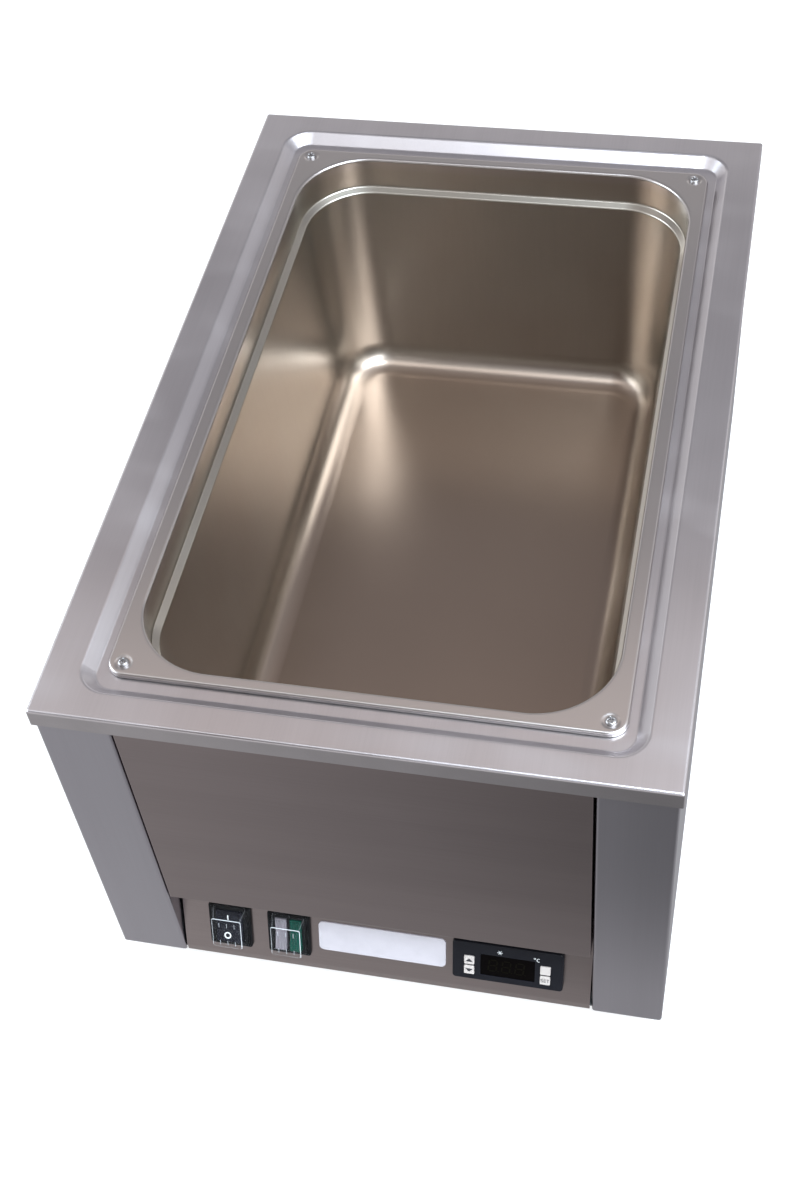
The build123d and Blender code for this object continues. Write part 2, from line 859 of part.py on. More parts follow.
def make_foot_studs():
    """The studs that are moulded into the feet."""
    low = foot_height - foot_stud_depth
    high = base_top + foot_nut_height + foot_stud_tail
    stud = Pos(0, 0, (low + high) / 2) * Cylinder(foot_stud_radius, high - low)
    return group([Pos(x, y, 0) * stud for x, y in foot_places()])


def make_foot_nuts():
    """The nuts on the studs of the feet."""
    nut = hex_nut(foot_nut_flat, foot_nut_height, foot_stud_radius + thread_clearance)
    return group([Pos(x, y, base_top) * nut for x, y in foot_places()])


# Heating and insulation

def make_heater():
    """The flat heating mat under the pan."""
    return rounded_slab(heater_width, heater_length, heater_corner_radius, heater_low, pan_low)


def make_spreader():
    """The aluminium plate that presses the mat flat."""
    plate = rounded_slab(
        heater_width + 2 * spreader_margin_side,
        heater_length + 2 * spreader_margin_end,
        heater_corner_radius,
        spreader_low,
        heater_low,
    )
    return drilled(plate, clamp_stud_places(), stud_radius + screw_clearance, spreader_low, heater_low)


def make_base_insulation():
    """The insulation board between the spreader and the clamp bars."""
    return rounded_slab(heater_width, heater_length, heater_corner_radius / 2, insulation_low, spreader_low)


def make_clamp_bars():
    """Two bars that press board, plate and mat against the pan."""
    half = heater_width / 2 + stud_stand_off + clamp_bar_overhang
    bars = []
    for end in (-1, 1):
        middle = end * clamp_bar_spacing / 2
        bar = block(
            (-half, middle - clamp_bar_width / 2, bar_low),
            (half, middle + clamp_bar_width / 2, insulation_low),
        )
        places = [place for place in clamp_stud_places() if place[1] == middle]
        bars.append(drilled(bar, places, stud_radius + screw_clearance, bar_low, insulation_low))
    return group(bars)


def make_clamp_nuts():
    """Nuts on the pan's studs, under the clamp bars."""
    nut = hex_nut(clamp_nut_flat, clamp_nut_height, stud_radius + thread_clearance)
    return group([Pos(x, y, nut_low) * nut for x, y in clamp_stud_places()])


def slab_levels(low):
    """The lowest and highest level of an insulation slab beside the pan."""
    return low, recess_level - frame_sheet - 2 * slab_clearance


def make_side_slab():
    """The insulation slab on the inside of the left side panel."""
    low, high = slab_levels(insulation_low)
    half = body_y - slab_end_inset
    return block((-wall_x, -half, low), (-wall_x + slab_thickness, half, high))


def make_front_slab():
    """The insulation slab behind the front plate."""
    low, high = slab_levels(strip_top + strip_flange + slab_clearance)
    half = plate_x - plate_return - slab_clearance
    return block((-half, -wall_y, low), (half, -wall_y + slab_thickness, high))


def make_rear_slab():
    """The insulation slab inside the rear panel."""
    low, high = slab_levels(insulation_low)
    half = plate_x - plate_return - slab_clearance
    face = wall_y - panel_sheet
    return block((-half, face - slab_thickness, low), (half, face, high))


def bulb_y():
    """How far the probe and the bulb lie from the middle, past the ends of the mat."""
    return heater_length / 2 + spreader_margin_end + bulb_gap


def make_probe_clips():
    """Spring clips that hold the probe and the overheat bulb under the pan."""
    outer = bulb_radius + clip_sheet
    clips = []
    for end in (-1, 1):
        loop = Cylinder(outer, clip_width) - Cylinder(bulb_radius + clip_clearance, clip_width)
        loop = Rot(0, 90, 0) * loop
        clip = loop - block((-clip_width, -outer, 0), (clip_width, outer, outer))
        for side in (-1, 1):
            wall_low, wall_high = sorted((side * (outer - clip_sheet), side * outer))
            clip += block((-clip_width / 2, wall_low, 0), (clip_width / 2, wall_high, bulb_radius))
            foot_low_y, foot_high_y = sorted((side * (outer - clip_sheet), side * (outer + clip_foot)))
            foot_low = bulb_radius - clip_sheet
            clip += block((-clip_width / 2, foot_low_y, foot_low), (clip_width / 2, foot_high_y, bulb_radius))
        clips.append(Pos(0, end * bulb_y(), pan_low - bulb_radius) * clip)
    return group(clips)


# Switches

def switch_windows(ways):
    """Centre and width of each rocker's window in a switch housing."""
    inner = switch_body_width - 2 * switch_wall
    width = (inner - (ways - 1) * switch_rib) / ways
    first = -inner / 2 + width / 2
    return [(first + index * (width + switch_rib), width) for index in range(ways)]


def window_length():
    """Length of a rocker's window, clear of the ends that swing in it."""
    return switch_body_height - 2 * switch_wall


def make_switch_housing(ways):
    """A switch housing with its frame, seen from outside along -Z, centred on its cut-out."""
    frame = extrude(
        RectangleRounded(switch_frame_width, switch_frame_height, switch_frame_radius), switch_frame_depth
    )
    frame = fillet(edges_at(frame, switch_frame_depth), switch_frame_edge_radius)
    body = block(
        (-switch_body_width / 2, -switch_body_height / 2, -switch_body_depth),
        (switch_body_width / 2, switch_body_height / 2, switch_frame_depth / 2),
    )
    housing = frame + body
    for x, width in switch_windows(ways):
        half_length = window_length() / 2
        housing -= block(
            (x - width / 2, -half_length, -switch_body_depth + switch_floor),
            (x + width / 2, half_length, switch_frame_depth),
        )
    pivot_bore = Cylinder(pivot_radius + pivot_clearance, switch_body_width - switch_wall)
    housing -= Pos(0, 0, -rocker_pivot_depth) * Rot(0, 90, 0) * pivot_bore
    for end in (-1, 1):
        root_y = end * (switch_body_height / 2 - switch_clip_root)
        tip_y = end * (switch_body_height / 2 + switch_clip_proud)
        low_y, high_y = sorted((root_y, tip_y))
        high_z = -panel_sheet - fit_gap
        housing += block(
            (-switch_clip_length / 2, low_y, high_z - switch_clip_depth),
            (switch_clip_length / 2, high_y, high_z),
        )
    return housing


def make_rocker(opening_width):
    """A rocker with two faces that meet in a shallow valley, turned so that its upper half is pressed in."""
    half = rocker_length / 2
    edge_z = rocker_edge_level
    valley_z = edge_z - half * tan(radians(rocker_angle))
    skirt_z = -rocker_pivot_depth - rocker_skirt
    section = Polyline(
        (-half, edge_z),
        (0, valley_z),
        (half, edge_z),
        (half, -rocker_pivot_depth),
        (half * rocker_waist, skirt_z),
        (-half * rocker_waist, skirt_z),
        (-half, -rocker_pivot_depth),
        close=True,
    )
    width = opening_width - 2 * rocker_side_gap
    rocker = extrude(Plane.YZ * make_face(section), width / 2, both=True)
    long_edges = [edge for edge in edges_at(rocker, edge_z) if edge.length > width / 2]
    rocker = fillet(long_edges, rocker_edge_radius)
    pivot_length = width + 2 * rocker_side_gap + pivot_engagement
    rocker += Pos(0, 0, -rocker_pivot_depth) * Rot(0, 90, 0) * Cylinder(pivot_radius, pivot_length)
    pivot = Pos(0, 0, -rocker_pivot_depth)
    return pivot * Rot(-rocker_angle, 0, 0) * pivot.inverse() * rocker


def hood_form(wall, high):
    """The tapered form of a hood, or with a wall its inside, up to a level."""
    radius = hood_corner_radius - wall
    foot = (hood_foot_width - 2 * wall, hood_foot_height - 2 * wall, radius, switch_frame_depth)
    face = (hood_face_width - 2 * wall, hood_face_height - 2 * wall, radius, high)
    return tapered_slab(foot, face)


def make_hood():
    """The clear splash hood that is clipped over a switch's rockers."""
    foot = rounded_slab(
        hood_foot_width + 2 * hood_rim,
        hood_foot_height + 2 * hood_rim,
        switch_frame_radius,
        switch_frame_depth,
        switch_frame_depth + hood_wall,
    )
    high = switch_frame_depth + hood_rise
    shell = hood_form(0, high)
    shell = fillet(edges_at(shell, high), hood_edge_radius)
    return foot + shell - hood_form(hood_wall, high - hood_wall)


def make_blades():
    """The connecting blades at the back of both switches."""
    blades = []
    for x in (main_switch_x, twin_switch_x):
        for column in (-1, 1):
            for row in (-1, 0, 1):
                blade = Box(blade_thickness, blade_width, blade_length)
                middle_z = -switch_body_depth - blade_length / 2
                place = Pos(x + column * blade_spacing / 2, row * blade_spacing, middle_z)
                blades.append(strip_face * place * blade)
    return group(blades)


def make_label():
    """The blank white plate between the switches and the controller."""
    plate = extrude(RectangleRounded(label_width, label_height, label_radius), label_thickness)
    plate = fillet(edges_at(plate, label_thickness), label_edge_radius)
    return strip_face * Pos(label_x, label_lift, 0) * plate


# Controller, drawn about its own centre with the strip's face at zero and +Z outwards

def on_controller(solid):
    """Put a piece that was drawn about the controller's centre in its place on the strip."""
    return strip_face * Pos(controller_x, controller_lift, 0) * solid


def key_places():
    """Name and place of each key."""
    return {
        "key_up": (key_left_x, key_upper_y),
        "key_down": (key_left_x, key_lower_y),
        "key_blank": (key_right_x, key_upper_y),
        "key_set": (key_right_x, key_lower_y),
    }


def make_controller_front():
    """The controller's front frame, hollow behind, with holes for the window and the keys."""
    front = extrude(
        RectangleRounded(controller_width, controller_height, controller_radius), controller_proud
    )
    front = fillet(edges_at(front, controller_proud), controller_edge_radius)
    half_x = controller_width / 2 - controller_front_margin
    half_y = controller_height / 2 - controller_front_margin
    back_of_face = controller_proud - controller_front_wall
    front -= block((-half_x, -half_y, 0), (half_x, half_y, back_of_face))
    for x, y in key_places().values():
        opening = RectangleRounded(key_width + 2 * key_clearance, key_height + 2 * key_clearance, key_radius)
        front -= Pos(x, y, 0) * extrude(opening, controller_proud)
    opening = block(
        (-window_width / 2, -window_height / 2, back_of_face),
        (window_width / 2, window_height / 2, controller_proud),
    )
    front -= Pos(window_x, window_y, 0) * opening
    return on_controller(front)


def make_window():
    """The dark window over the display, with a lip behind the frame."""
    high = controller_proud - window_depth
    back_of_face = controller_proud - controller_front_wall
    low = back_of_face - window_lip_thickness
    pane_x = window_width / 2 - window_clearance
    pane_y = window_height / 2 - window_clearance
    lip_x = window_width / 2 + window_lip
    lip_y = window_height / 2 + window_lip
    pane = block((-pane_x, -pane_y, low), (pane_x, pane_y, high))
    lip = block((-lip_x, -lip_y, low), (lip_x, lip_y, back_of_face))
    return on_controller(Pos(window_x, window_y, 0) * (pane + lip))


def make_key(x, y):
    """One key: its cap, and the flange that keeps it behind the frame."""
    back_of_face = controller_proud - controller_front_wall
    flange_low = back_of_face - key_flange_thickness
    cap_high = controller_proud + key_proud
    cap = Pos(0, 0, flange_low) * extrude(
        RectangleRounded(key_width, key_height, key_radius), cap_high - flange_low
    )
    cap = fillet(edges_at(cap, cap_high), key_edge_radius)
    grow = 2 * key_clearance + key_flange
    flange = Pos(0, 0, flange_low) * extrude(
        RectangleRounded(key_width + grow, key_height + grow, key_flange_radius), key_flange_thickness
    )
    return on_controller(Pos(x, y, 0) * (cap + flange))


def make_controller_case():
    """The controller's case behind the strip, open at the front."""
    wall = controller_case_wall
    half_x = controller_case_width / 2
    half_y = controller_case_height / 2
    low = -controller_case_depth
    case = block((-half_x, -half_y, low), (half_x, half_y, 0))
    case = fillet(case.edges().filter_by(Axis.Z), controller_case_radius)
    case -= block((-half_x + wall, -half_y + wall, low + wall), (half_x - wall, half_y - wall, 0))
    slot = Box(controller_slot_width, 2 * wall, controller_slot_length)
    for side in (-1, 1):
        for index in range(controller_slot_count):
            slot_x = (index - (controller_slot_count - 1) / 2) * controller_slot_pitch
            case -= Pos(slot_x, side * half_y, -controller_slot_depth) * slot
    return on_controller(case)


def make_board():
    """The controller's circuit board, with three tall pieces on its back."""
    half_x = controller_case_width / 2 - controller_case_wall - board_clearance
    half_y = controller_case_height / 2 - controller_case_wall - board_clearance
    board = block((-half_x, -half_y, board_level - board_thickness), (half_x, half_y, board_level))
    piece_z = board_level - board_thickness - board_piece_size[2] / 2
    for x in (-board_piece_spacing, 0, board_piece_spacing):
        board += Pos(x, 0, piece_z) * Box(*board_piece_size)
    return on_controller(board)


def make_display():
    """The display module behind the window."""
    body = Box(display_width, display_height, display_depth)
    return on_controller(Pos(window_x, window_y, board_level + display_depth / 2) * body)


def make_key_switches():
    """The small switches that the keys press."""
    back_of_face = controller_proud - controller_front_wall
    high = back_of_face - key_flange_thickness - key_travel - key_stop_gap
    size = key_switch_size
    switches = []
    for x, y in key_places().values():
        reach = controller_case_height / 2 - controller_case_wall - board_clearance - size / 2
        centre_y = max(min(y, reach), -reach)
        body = block(
            (x - size / 2, centre_y - size / 2, board_level),
            (x + size / 2, centre_y + size / 2, high - key_plunger_height),
        )
        plunger = Cylinder(key_plunger_radius, key_plunger_height)
        plunger = Pos(x, centre_y, high - key_plunger_height / 2) * plunger
        switches.append(on_controller(body + plunger))
    return group(switches)


def make_controller_clips():
    """The two side clips that hold the controller behind the strip."""
    clips = []
    high = -panel_sheet
    for side in (-1, 1):
        inner_x = side * (controller_case_width / 2)
        outer_x = side * (controller_case_width / 2 + controller_clip_thickness)
        toe_x = side * (controller_case_width / 2 + 3 * controller_clip_thickness)
        arm_low, arm_high = sorted((inner_x, outer_x))
        toe_low, toe_high = sorted((inner_x, toe_x))
        half = controller_clip_width / 2
        arm = block((arm_low, -half, high - controller_clip_length), (arm_high, half, high))
        toe = block((toe_low, -half, high - controller_clip_thickness), (toe_high, half, high))
        clips.append(on_controller(arm + toe))
    return group(clips)


def terminal_x(index):
    """Centre of one of the controller's terminals, from the controller's centre."""
    return (index - (terminal_count - 1) / 2) * terminal_pitch


def make_controller_terminals():
    """The screw terminals at the back of the controller."""
    width = terminal_count * terminal_pitch
    low = -controller_case_depth - terminal_depth
    strip = block(
        (-width / 2, -terminal_height / 2, low), (width / 2, terminal_height / 2, -controller_case_depth)
    )
    screw_y = (terminal_height - terminal_screw_recess) / 2
    screw_recess = Rot(90, 0, 0) * Cylinder(terminal_screw_radius, terminal_screw_recess)
    hole_width, hole_height, hole_depth = terminal_hole_size
    for index in range(terminal_count):
        x = terminal_x(index)
        strip -= Pos(x, screw_y, low + terminal_depth / 2) * screw_recess
        strip -= Pos(x, -terminal_hole_drop, low + hole_depth / 2) * Box(hole_width, hole_height, hole_depth)
    return on_controller(strip)


# Pieces on the base plate

def relay_screw_places():
    """Where the relay is screwed down."""
    return [(relay_x, relay_y + end * relay_hole_spacing / 2) for end in (-1, 1)]


def bracket_screw_places():
    """Where the thermostat's bracket is screwed down."""
    return [(thermostat_x + side * bracket_width / 4, thermostat_y + bracket_foot * 0.6) for side in (-1, 1)]


def block_screw_places():
    """Where the terminal block is screwed down."""
    reach = (terminal_block_size[0] - terminal_block_end) / 2
    return [(terminal_block_x + side * reach, terminal_block_y) for side in (-1, 1)]


def board_screw_places():
    """All screws that hold pieces down on the base plate."""
    return relay_screw_places() + bracket_screw_places() + block_screw_places()


def make_relay():
    """The solid state relay that switches the mat."""
    width, length, height = relay_size
    step_length, step_height = relay_end_step
    relay = block((-width / 2, -length / 2, 0), (width / 2, length / 2, height))
    for end in (-1, 1):
        low_y, high_y = sorted((end * (length / 2 - step_length), end * length / 2))
        relay -= block((-width / 2, low_y, step_height), (width / 2, high_y, height))
    relay = fillet(edges_at(relay, height), relay_edge_radius)
    relay = Pos(relay_x, relay_y, base_top) * relay
    radius = case_screw_shank_radius + screw_clearance
    return drilled(relay, relay_screw_places(), radius, base_top, base_top + height)


def way_pitch():
    """Distance between the ways of the terminal block."""
    return (terminal_block_size[0] - 2 * terminal_block_end) / terminal_block_ways


def way_x(index):
    """Centre of one way of the terminal block along X."""
    return terminal_block_x + (index - (terminal_block_ways - 1) / 2) * way_pitch()


def make_terminal_block():
    """The mains terminal block, a row of ways between barriers."""
    width, depth, height = terminal_block_size
    body = block((-width / 2, -depth / 2, 0), (width / 2, depth / 2, height))
    for side in (-1, 1):
        low_x, high_x = sorted((side * (width / 2 - terminal_block_end), side * width / 2))
        body -= block((low_x, -depth / 2, terminal_block_foot), (high_x, depth / 2, height))
    way_floor = height - terminal_block_groove
    groove = Box(way_pitch() - terminal_block_barrier, depth, 2 * terminal_block_groove)
    clamp_screw = Pos(0, 0, clamp_screw_height / 2) * Cylinder(clamp_screw_radius, clamp_screw_height)
    for index in range(terminal_block_ways):
        x = way_x(index) - terminal_block_x
        body -= Pos(x, 0, height) * groove
        body += Pos(x, 0, way_floor) * clamp_screw
    body = Pos(terminal_block_x, terminal_block_y, base_top) * body
    radius = case_screw_shank_radius + screw_clearance
    return drilled(body, block_screw_places(), radius, base_top, base_top + terminal_block_foot)


def make_thermostat_bracket():
    """The bent bracket that carries the overheat thermostat."""
    outline = [(0, bracket_height), (0, 0), (bracket_foot, 0)]
    bracket = across(folded_sheet(outline, bracket_sheet), bracket_width / 2)
    bracket = Pos(thermostat_x, thermostat_y, base_top) * bracket
    radius = case_screw_shank_radius + screw_clearance
    return drilled(bracket, bracket_screw_places(), radius, base_top, base_top + bracket_sheet)


def thermostat_centre_level():
    """Height of the overheat thermostat's axis."""
    return base_top + thermostat_radius + thermostat_rise


def make_thermostat():
    """The overheat thermostat: a round body in front of its bracket, with two connecting blades."""
    body = Cylinder(thermostat_radius, thermostat_height)
    body = fillet(edges_at(body, thermostat_height / 2), thermostat_edge_radius)
    blade_z = (thermostat_height + thermostat_blade_size[2]) / 2
    for side in (-1, 1):
        body += Pos(side * thermostat_blade_spacing / 2, 0, blade_z) * Box(*thermostat_blade_size)
    neck_z = (thermostat_height + thermostat_neck_length) / 2
    body += Pos(0, 0, neck_z) * Cylinder(thermostat_neck_radius, thermostat_neck_length)
    upright = Pos(thermostat_x, thermostat_y - thermostat_height / 2, thermostat_centre_level())
    return upright * Rot(90, 0, 0) * body


def make_capillary():
    """The overheat bulb under the pan and its capillary tube down to the thermostat."""
    bulb_level = pan_low - bulb_radius
    half = overheat_bulb_length / 2
    bulb = Pos(0, bulb_y(), bulb_level) * Rot(0, 90, 0) * Cylinder(bulb_radius, overheat_bulb_length)
    side_x = -heater_width / 2 - capillary_swing
    front = thermostat_y - thermostat_height - thermostat_neck_length
    level = thermostat_centre_level()
    bend_y = front - capillary_stub
    points = [
        (-half, bulb_y(), bulb_level),
        (side_x, bulb_y(), bulb_level),
        (side_x, bulb_y() - capillary_drop_run, stud_low - capillary_drop),
        (thermostat_x, bend_y - capillary_approach_run, level + capillary_approach_rise),
        (thermostat_x, bend_y, level),
        (thermostat_x, front, level),
    ]
    return bulb + wire_run(points, capillary_radius, capillary_bend)


def make_earth_stud():
    """The earth stud on the base plate, with the two nuts that clamp its ring terminals."""
    stud = Pos(0, 0, earth_stud_height / 2) * Cylinder(earth_stud_radius, earth_stud_height)
    nut = extrude(RegularPolygon(earth_nut_flat / 2, 6, major_radius=False), earth_nut_height)
    ring = Cylinder(earth_nut_flat / 2 + earth_ring_margin, earth_ring_thickness)
    stack = stud + nut + Pos(0, 0, earth_nut_height + earth_ring_thickness / 2) * ring
    stack += Pos(0, 0, earth_nut_height + earth_ring_thickness) * nut
    return Pos(earth_x, earth_y, base_top) * stack


# Mains inlet, drawn with its flange's back at zero and +Z outwards

def on_rear(solid):
    """Put a piece that was drawn along +Z on the rear panel at the inlet."""
    return rear_face * solid


def make_inlet():
    """The mains inlet, with its cavity for the lead's connector."""
    outline = RectangleRounded(inlet_flange_width, inlet_flange_height, inlet_flange_radius)
    flange = extrude(outline, inlet_flange_thickness)
    flange = fillet(edges_at(flange, inlet_flange_thickness), inlet_flange_edge_radius)
    body = Pos(0, 0, -inlet_body_depth / 2) * Box(inlet_body_width, inlet_body_height, inlet_body_depth)
    body = fillet(body.edges().filter_by(Axis.Z), inlet_body_radius)
    inlet = flange + body
    cavity_low = inlet_flange_thickness - inlet_cavity_depth
    cavity = Pos(0, 0, cavity_low) * extrude(
        RectangleRounded(inlet_cavity_width, inlet_cavity_height, inlet_cavity_radius), inlet_cavity_depth
    )
    inlet -= cavity
    for side in (-1, 1):
        hole = Cylinder(inlet_screw_shank_radius + screw_clearance, 3 * inlet_flange_thickness)
        inlet -= Pos(side * inlet_screw_spacing / 2, 0, 0) * hole
    for x, y in inlet_pin_places():
        inlet -= Pos(x, y, 0) * Box(*inlet_pin_size, 3 * inlet_body_depth)
    return on_rear(inlet)


def inlet_pin_places():
    """Where the three pins stand in the inlet."""
    return [
        (-inlet_pin_spacing / 2, -inlet_pin_drop),
        (0, inlet_earth_rise),
        (inlet_pin_spacing / 2, -inlet_pin_drop),
    ]


def make_inlet_pins():
    """The three flat pins, which end as connecting blades inside the casing."""
    high = inlet_flange_thickness - inlet_cavity_depth + inlet_pin_length
    low = -inlet_body_depth - blade_length
    pins = []
    for x, y in inlet_pin_places():
        width, height = inlet_pin_size
        pin = block((x - width / 2, y - height / 2, low), (x + width / 2, y + height / 2, high))
        pins.append(on_rear(pin))
    return group(pins)


def make_inlet_screws():
    """The two screws of the inlet's flange."""
    screw = pan_head_screw(
        inlet_screw_shank_radius, inlet_screw_head_radius, inlet_screw_head_height, inlet_screw_length
    )
    level = inlet_flange_thickness
    return group([on_rear(Pos(side * inlet_screw_spacing / 2, 0, level) * screw) for side in (-1, 1)])


# Fasteners and wiring

def make_case_screws():
    """The case's small screws: rear panel, base plate, and the pieces on the base plate."""
    screw = case_screw()
    screws = []
    for side in (-1, 1):
        for level in rear_screw_heights():
            place = Pos(side * (body_x - rear_return / 2), body_y, level)
            screws.append(place * Rot(-90, 0, 0) * screw)
    for x, y in base_screw_places():
        screws.append(Pos(x, y, body_bottom) * Rot(180, 0, 0) * screw)
    heights = [relay_end_step[1]] * 2 + [bracket_sheet] * 2 + [terminal_block_foot] * 2
    for (x, y), height in zip(board_screw_places(), heights):
        screws.append(Pos(x, y, base_top + height) * screw)
    return group(screws)


def back_of_switch(x, column, row):
    """The end of a switch's connecting blade."""
    local = Pos(x + column * blade_spacing / 2, row * blade_spacing, -switch_body_depth - blade_length)
    return Vector((strip_face.location * local).position)


def inward(distance):
    """A step straight back from the control strip."""
    return strip_normal * -distance


def make_mains_wiring():
    """Three leads from the inlet's blades to the middle ways of the terminal block."""
    low = -inlet_body_depth - blade_length
    end_y = terminal_block_y + terminal_block_size[1] / 2 - lead_entry_depth
    bend_y = end_y + lead_entry_run
    level = base_top + lead_entry_level
    wires = []
    for index, (x, y) in enumerate(inlet_pin_places()):
        start = Vector((rear_face.location * Pos(x, y, low)).position)
        end_x = way_x(terminal_block_ways - 2 - index)
        points = [
            start,
            (start.X, start.Y - lead_stub, start.Z),
            (end_x, bend_y + lead_drop_run, level + lead_drop),
            (end_x, bend_y, level),
            (end_x, end_y, level),
        ]
        wires.append(wire_run(points, lead_radius, lead_bend))
    return group(wires)


def make_control_wiring():
    """Looms from the two switches along the base plate to the outer ways of the terminal block."""
    level = base_top + loom_radius + loom_lift
    block_face = terminal_block_y - terminal_block_size[1] / 2
    bend_y = block_face - loom_entry_run
    looms = []
    for way, (switch_x, row_y) in enumerate(zip((main_switch_x, twin_switch_x), loom_rows)):
        start = back_of_switch(switch_x, 1, -1)
        turn = start + inward(loom_stub)
        end_x = way_x(way)
        points = [
            start,
            turn,
            (turn.X, turn.Y + loom_drop_run, level),
            (turn.X, row_y, level),
            (end_x, row_y, level),
            (end_x, bend_y - loom_rise_run, level),
            (end_x, bend_y, base_top + loom_entry_level),
            (end_x, block_face, base_top + loom_entry_level),
        ]
        looms.append(wire_run(points, loom_radius, loom_bend))
    return group(looms)


def make_heater_leads():
    """The two leads from the mat's side down to the relay."""
    level = heater_low + heater_thickness / 2
    low = base_top + heater_lead_level
    outer_x = heater_width / 2 + spreader_margin_side + heater_lead_swing
    leads = []
    for side in (-1, 1):
        y = relay_y + side * heater_lead_spacing / 2
        points = [
            (heater_width / 2, y, level),
            (outer_x, y, level),
            (outer_x, y, low),
            (relay_x + relay_size[0] / 2, y, low),
        ]
        leads.append(wire_run(points, lead_radius, heater_lead_bend))
    return group(leads)


def make_probe():
    """The temperature probe under the pan, with its lead to one of the controller's terminals."""
    level = pan_low - bulb_radius
    half = probe_length / 2
    outer_x = heater_width / 2 + probe_swing
    probe = Pos(0, -bulb_y(), level) * Rot(0, 90, 0) * Cylinder(bulb_radius, probe_length)
    entry_x = controller_x + terminal_x(terminal_count - 3)
    entry_z = terminal_hole_size[2] - controller_case_depth - terminal_depth
    entry = Pos(entry_x, controller_lift - terminal_hole_drop, entry_z)
    end = Vector((strip_face.location * entry).position)
    points = [
        (half, -bulb_y(), level),
        (outer_x, -bulb_y(), level),
        (outer_x, -bulb_y() + probe_drop_run, level - probe_drop),
        (end.X, end.Y + probe_approach_run, end.Z + probe_approach_rise),
        end + inward(probe_stub),
        end,
    ]
    return probe + wire_run(points, lead_radius, lead_bend)


def on_switch(x, solid):
    """Put a piece that was drawn about a switch's centre in its place on the strip."""
    return strip_face * Pos(x, 0, 0) * solid


def twin_rocker(index):
    """One rocker of the twin switch."""
    x, width = switch_windows(2)[index]
    return on_switch(twin_switch_x, Pos(x, 0, 0) * make_rocker(width))


def build_nodes():
    """Every piece of the bath by its name."""
    main_width = switch_windows(1)[0][1]
    left_panel = make_side_panel()
    left_slab = make_side_slab()
    nodes = {
        "top_frame": make_top_frame(),
        "pan": make_pan(),
        "pan_gasket": make_gasket(),
        "pan_screws": make_pan_screws(),
        "pan_captive_nuts": make_captive_nuts(),
        "left_side_panel": left_panel,
        "right_side_panel": mirror(left_panel, Plane.YZ),
        "front_plate": make_front_plate(),
        "front_plate_rivets": make_rivets(),
        "control_strip": make_control_strip(),
        "rear_panel": make_rear_panel(),
        "base_plate": make_base_plate(),
        "case_screws": make_case_screws(),
        "feet": make_feet(),
        "foot_studs": make_foot_studs(),
        "foot_nuts": make_foot_nuts(),
        "heating_mat": make_heater(),
        "heat_spreader": make_spreader(),
        "base_insulation": make_base_insulation(),
        "left_insulation": left_slab,
        "right_insulation": mirror(left_slab, Plane.YZ),
        "front_insulation": make_front_slab(),
        "rear_insulation": make_rear_slab(),
        "clamp_bars": make_clamp_bars(),
        "clamp_nuts": make_clamp_nuts(),
        "main_switch_housing": on_switch(main_switch_x, make_switch_housing(1)),
        "main_rocker": on_switch(main_switch_x, make_rocker(main_width)),
        "main_switch_hood": on_switch(main_switch_x, make_hood()),
        "twin_switch_housing": on_switch(twin_switch_x, make_switch_housing(2)),
        "clear_rocker": twin_rocker(0),
        "green_rocker": twin_rocker(1),
        "twin_switch_hood": on_switch(twin_switch_x, make_hood()),
        "switch_blades": make_blades(),
        "label_plate": make_label(),
        "controller_front": make_controller_front(),
        "controller_window": make_window(),
        "controller_case": make_controller_case(),
        "controller_board": make_board(),
        "display_module": make_display(),
        "key_switches": make_key_switches(),
        "controller_clips": make_controller_clips(),
        "controller_terminals": make_controller_terminals(),
        "pan_probe": make_probe(),
        "probe_clips": make_probe_clips(),
        "overheat_capillary": make_capillary(),
        "overheat_thermostat": make_thermostat(),
        "thermostat_bracket": make_thermostat_bracket(),
        "solid_state_relay": make_relay(),
        "terminal_block": make_terminal_block(),
        "earth_stud": make_earth_stud(),
        "mains_inlet": make_inlet(),
        "inlet_pins": make_inlet_pins(),
        "inlet_screws": make_inlet_screws(),
        "mains_wiring": make_mains_wiring(),
        "control_wiring": make_control_wiring(),
        "heater_leads": make_heater_leads(),
    }
    for name, (x, y) in key_places().items():
        nodes[name] = make_key(x, y)
    return nodes


os.makedirs("parts", exist_ok=True)
for node_name, node_shape in build_nodes().items():
    export_step(node_shape, f"parts/{node_name}.step")
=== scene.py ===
from math import cos, pi, radians, sin, tan

import bmesh
import bpy
from mathutils import Matrix, Vector


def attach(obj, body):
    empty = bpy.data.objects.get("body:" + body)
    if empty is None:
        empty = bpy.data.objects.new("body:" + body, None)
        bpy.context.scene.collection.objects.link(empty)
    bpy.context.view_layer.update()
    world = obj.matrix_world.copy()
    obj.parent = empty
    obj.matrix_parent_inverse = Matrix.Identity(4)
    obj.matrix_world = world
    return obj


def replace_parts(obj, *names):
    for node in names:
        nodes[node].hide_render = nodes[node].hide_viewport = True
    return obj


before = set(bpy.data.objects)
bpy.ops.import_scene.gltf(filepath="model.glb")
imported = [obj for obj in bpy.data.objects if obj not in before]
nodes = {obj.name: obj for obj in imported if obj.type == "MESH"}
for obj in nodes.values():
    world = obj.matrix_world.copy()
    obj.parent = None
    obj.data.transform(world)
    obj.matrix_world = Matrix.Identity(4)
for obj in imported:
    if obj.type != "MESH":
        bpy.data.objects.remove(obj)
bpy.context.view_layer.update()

# Bench-top paraffin bath: brushed casing, deep drawn pan, rocker switches under clear hoods, digital thermostat.
# Metres, in the frame of the solids: +X right as seen from the front, +Y to the rear, +Z up.

scene = bpy.context.scene
MM = 0.001

# The tilted control strip: places on it are in millimetres across it, up along it and out of it
strip_tilt = radians(18)
strip_origin = Vector((0.0, -0.2923475, 0.0506296))
strip_up = Vector((0.0, sin(strip_tilt), cos(strip_tilt)))
strip_out = Vector((0.0, -cos(strip_tilt), sin(strip_tilt)))


# Small helpers

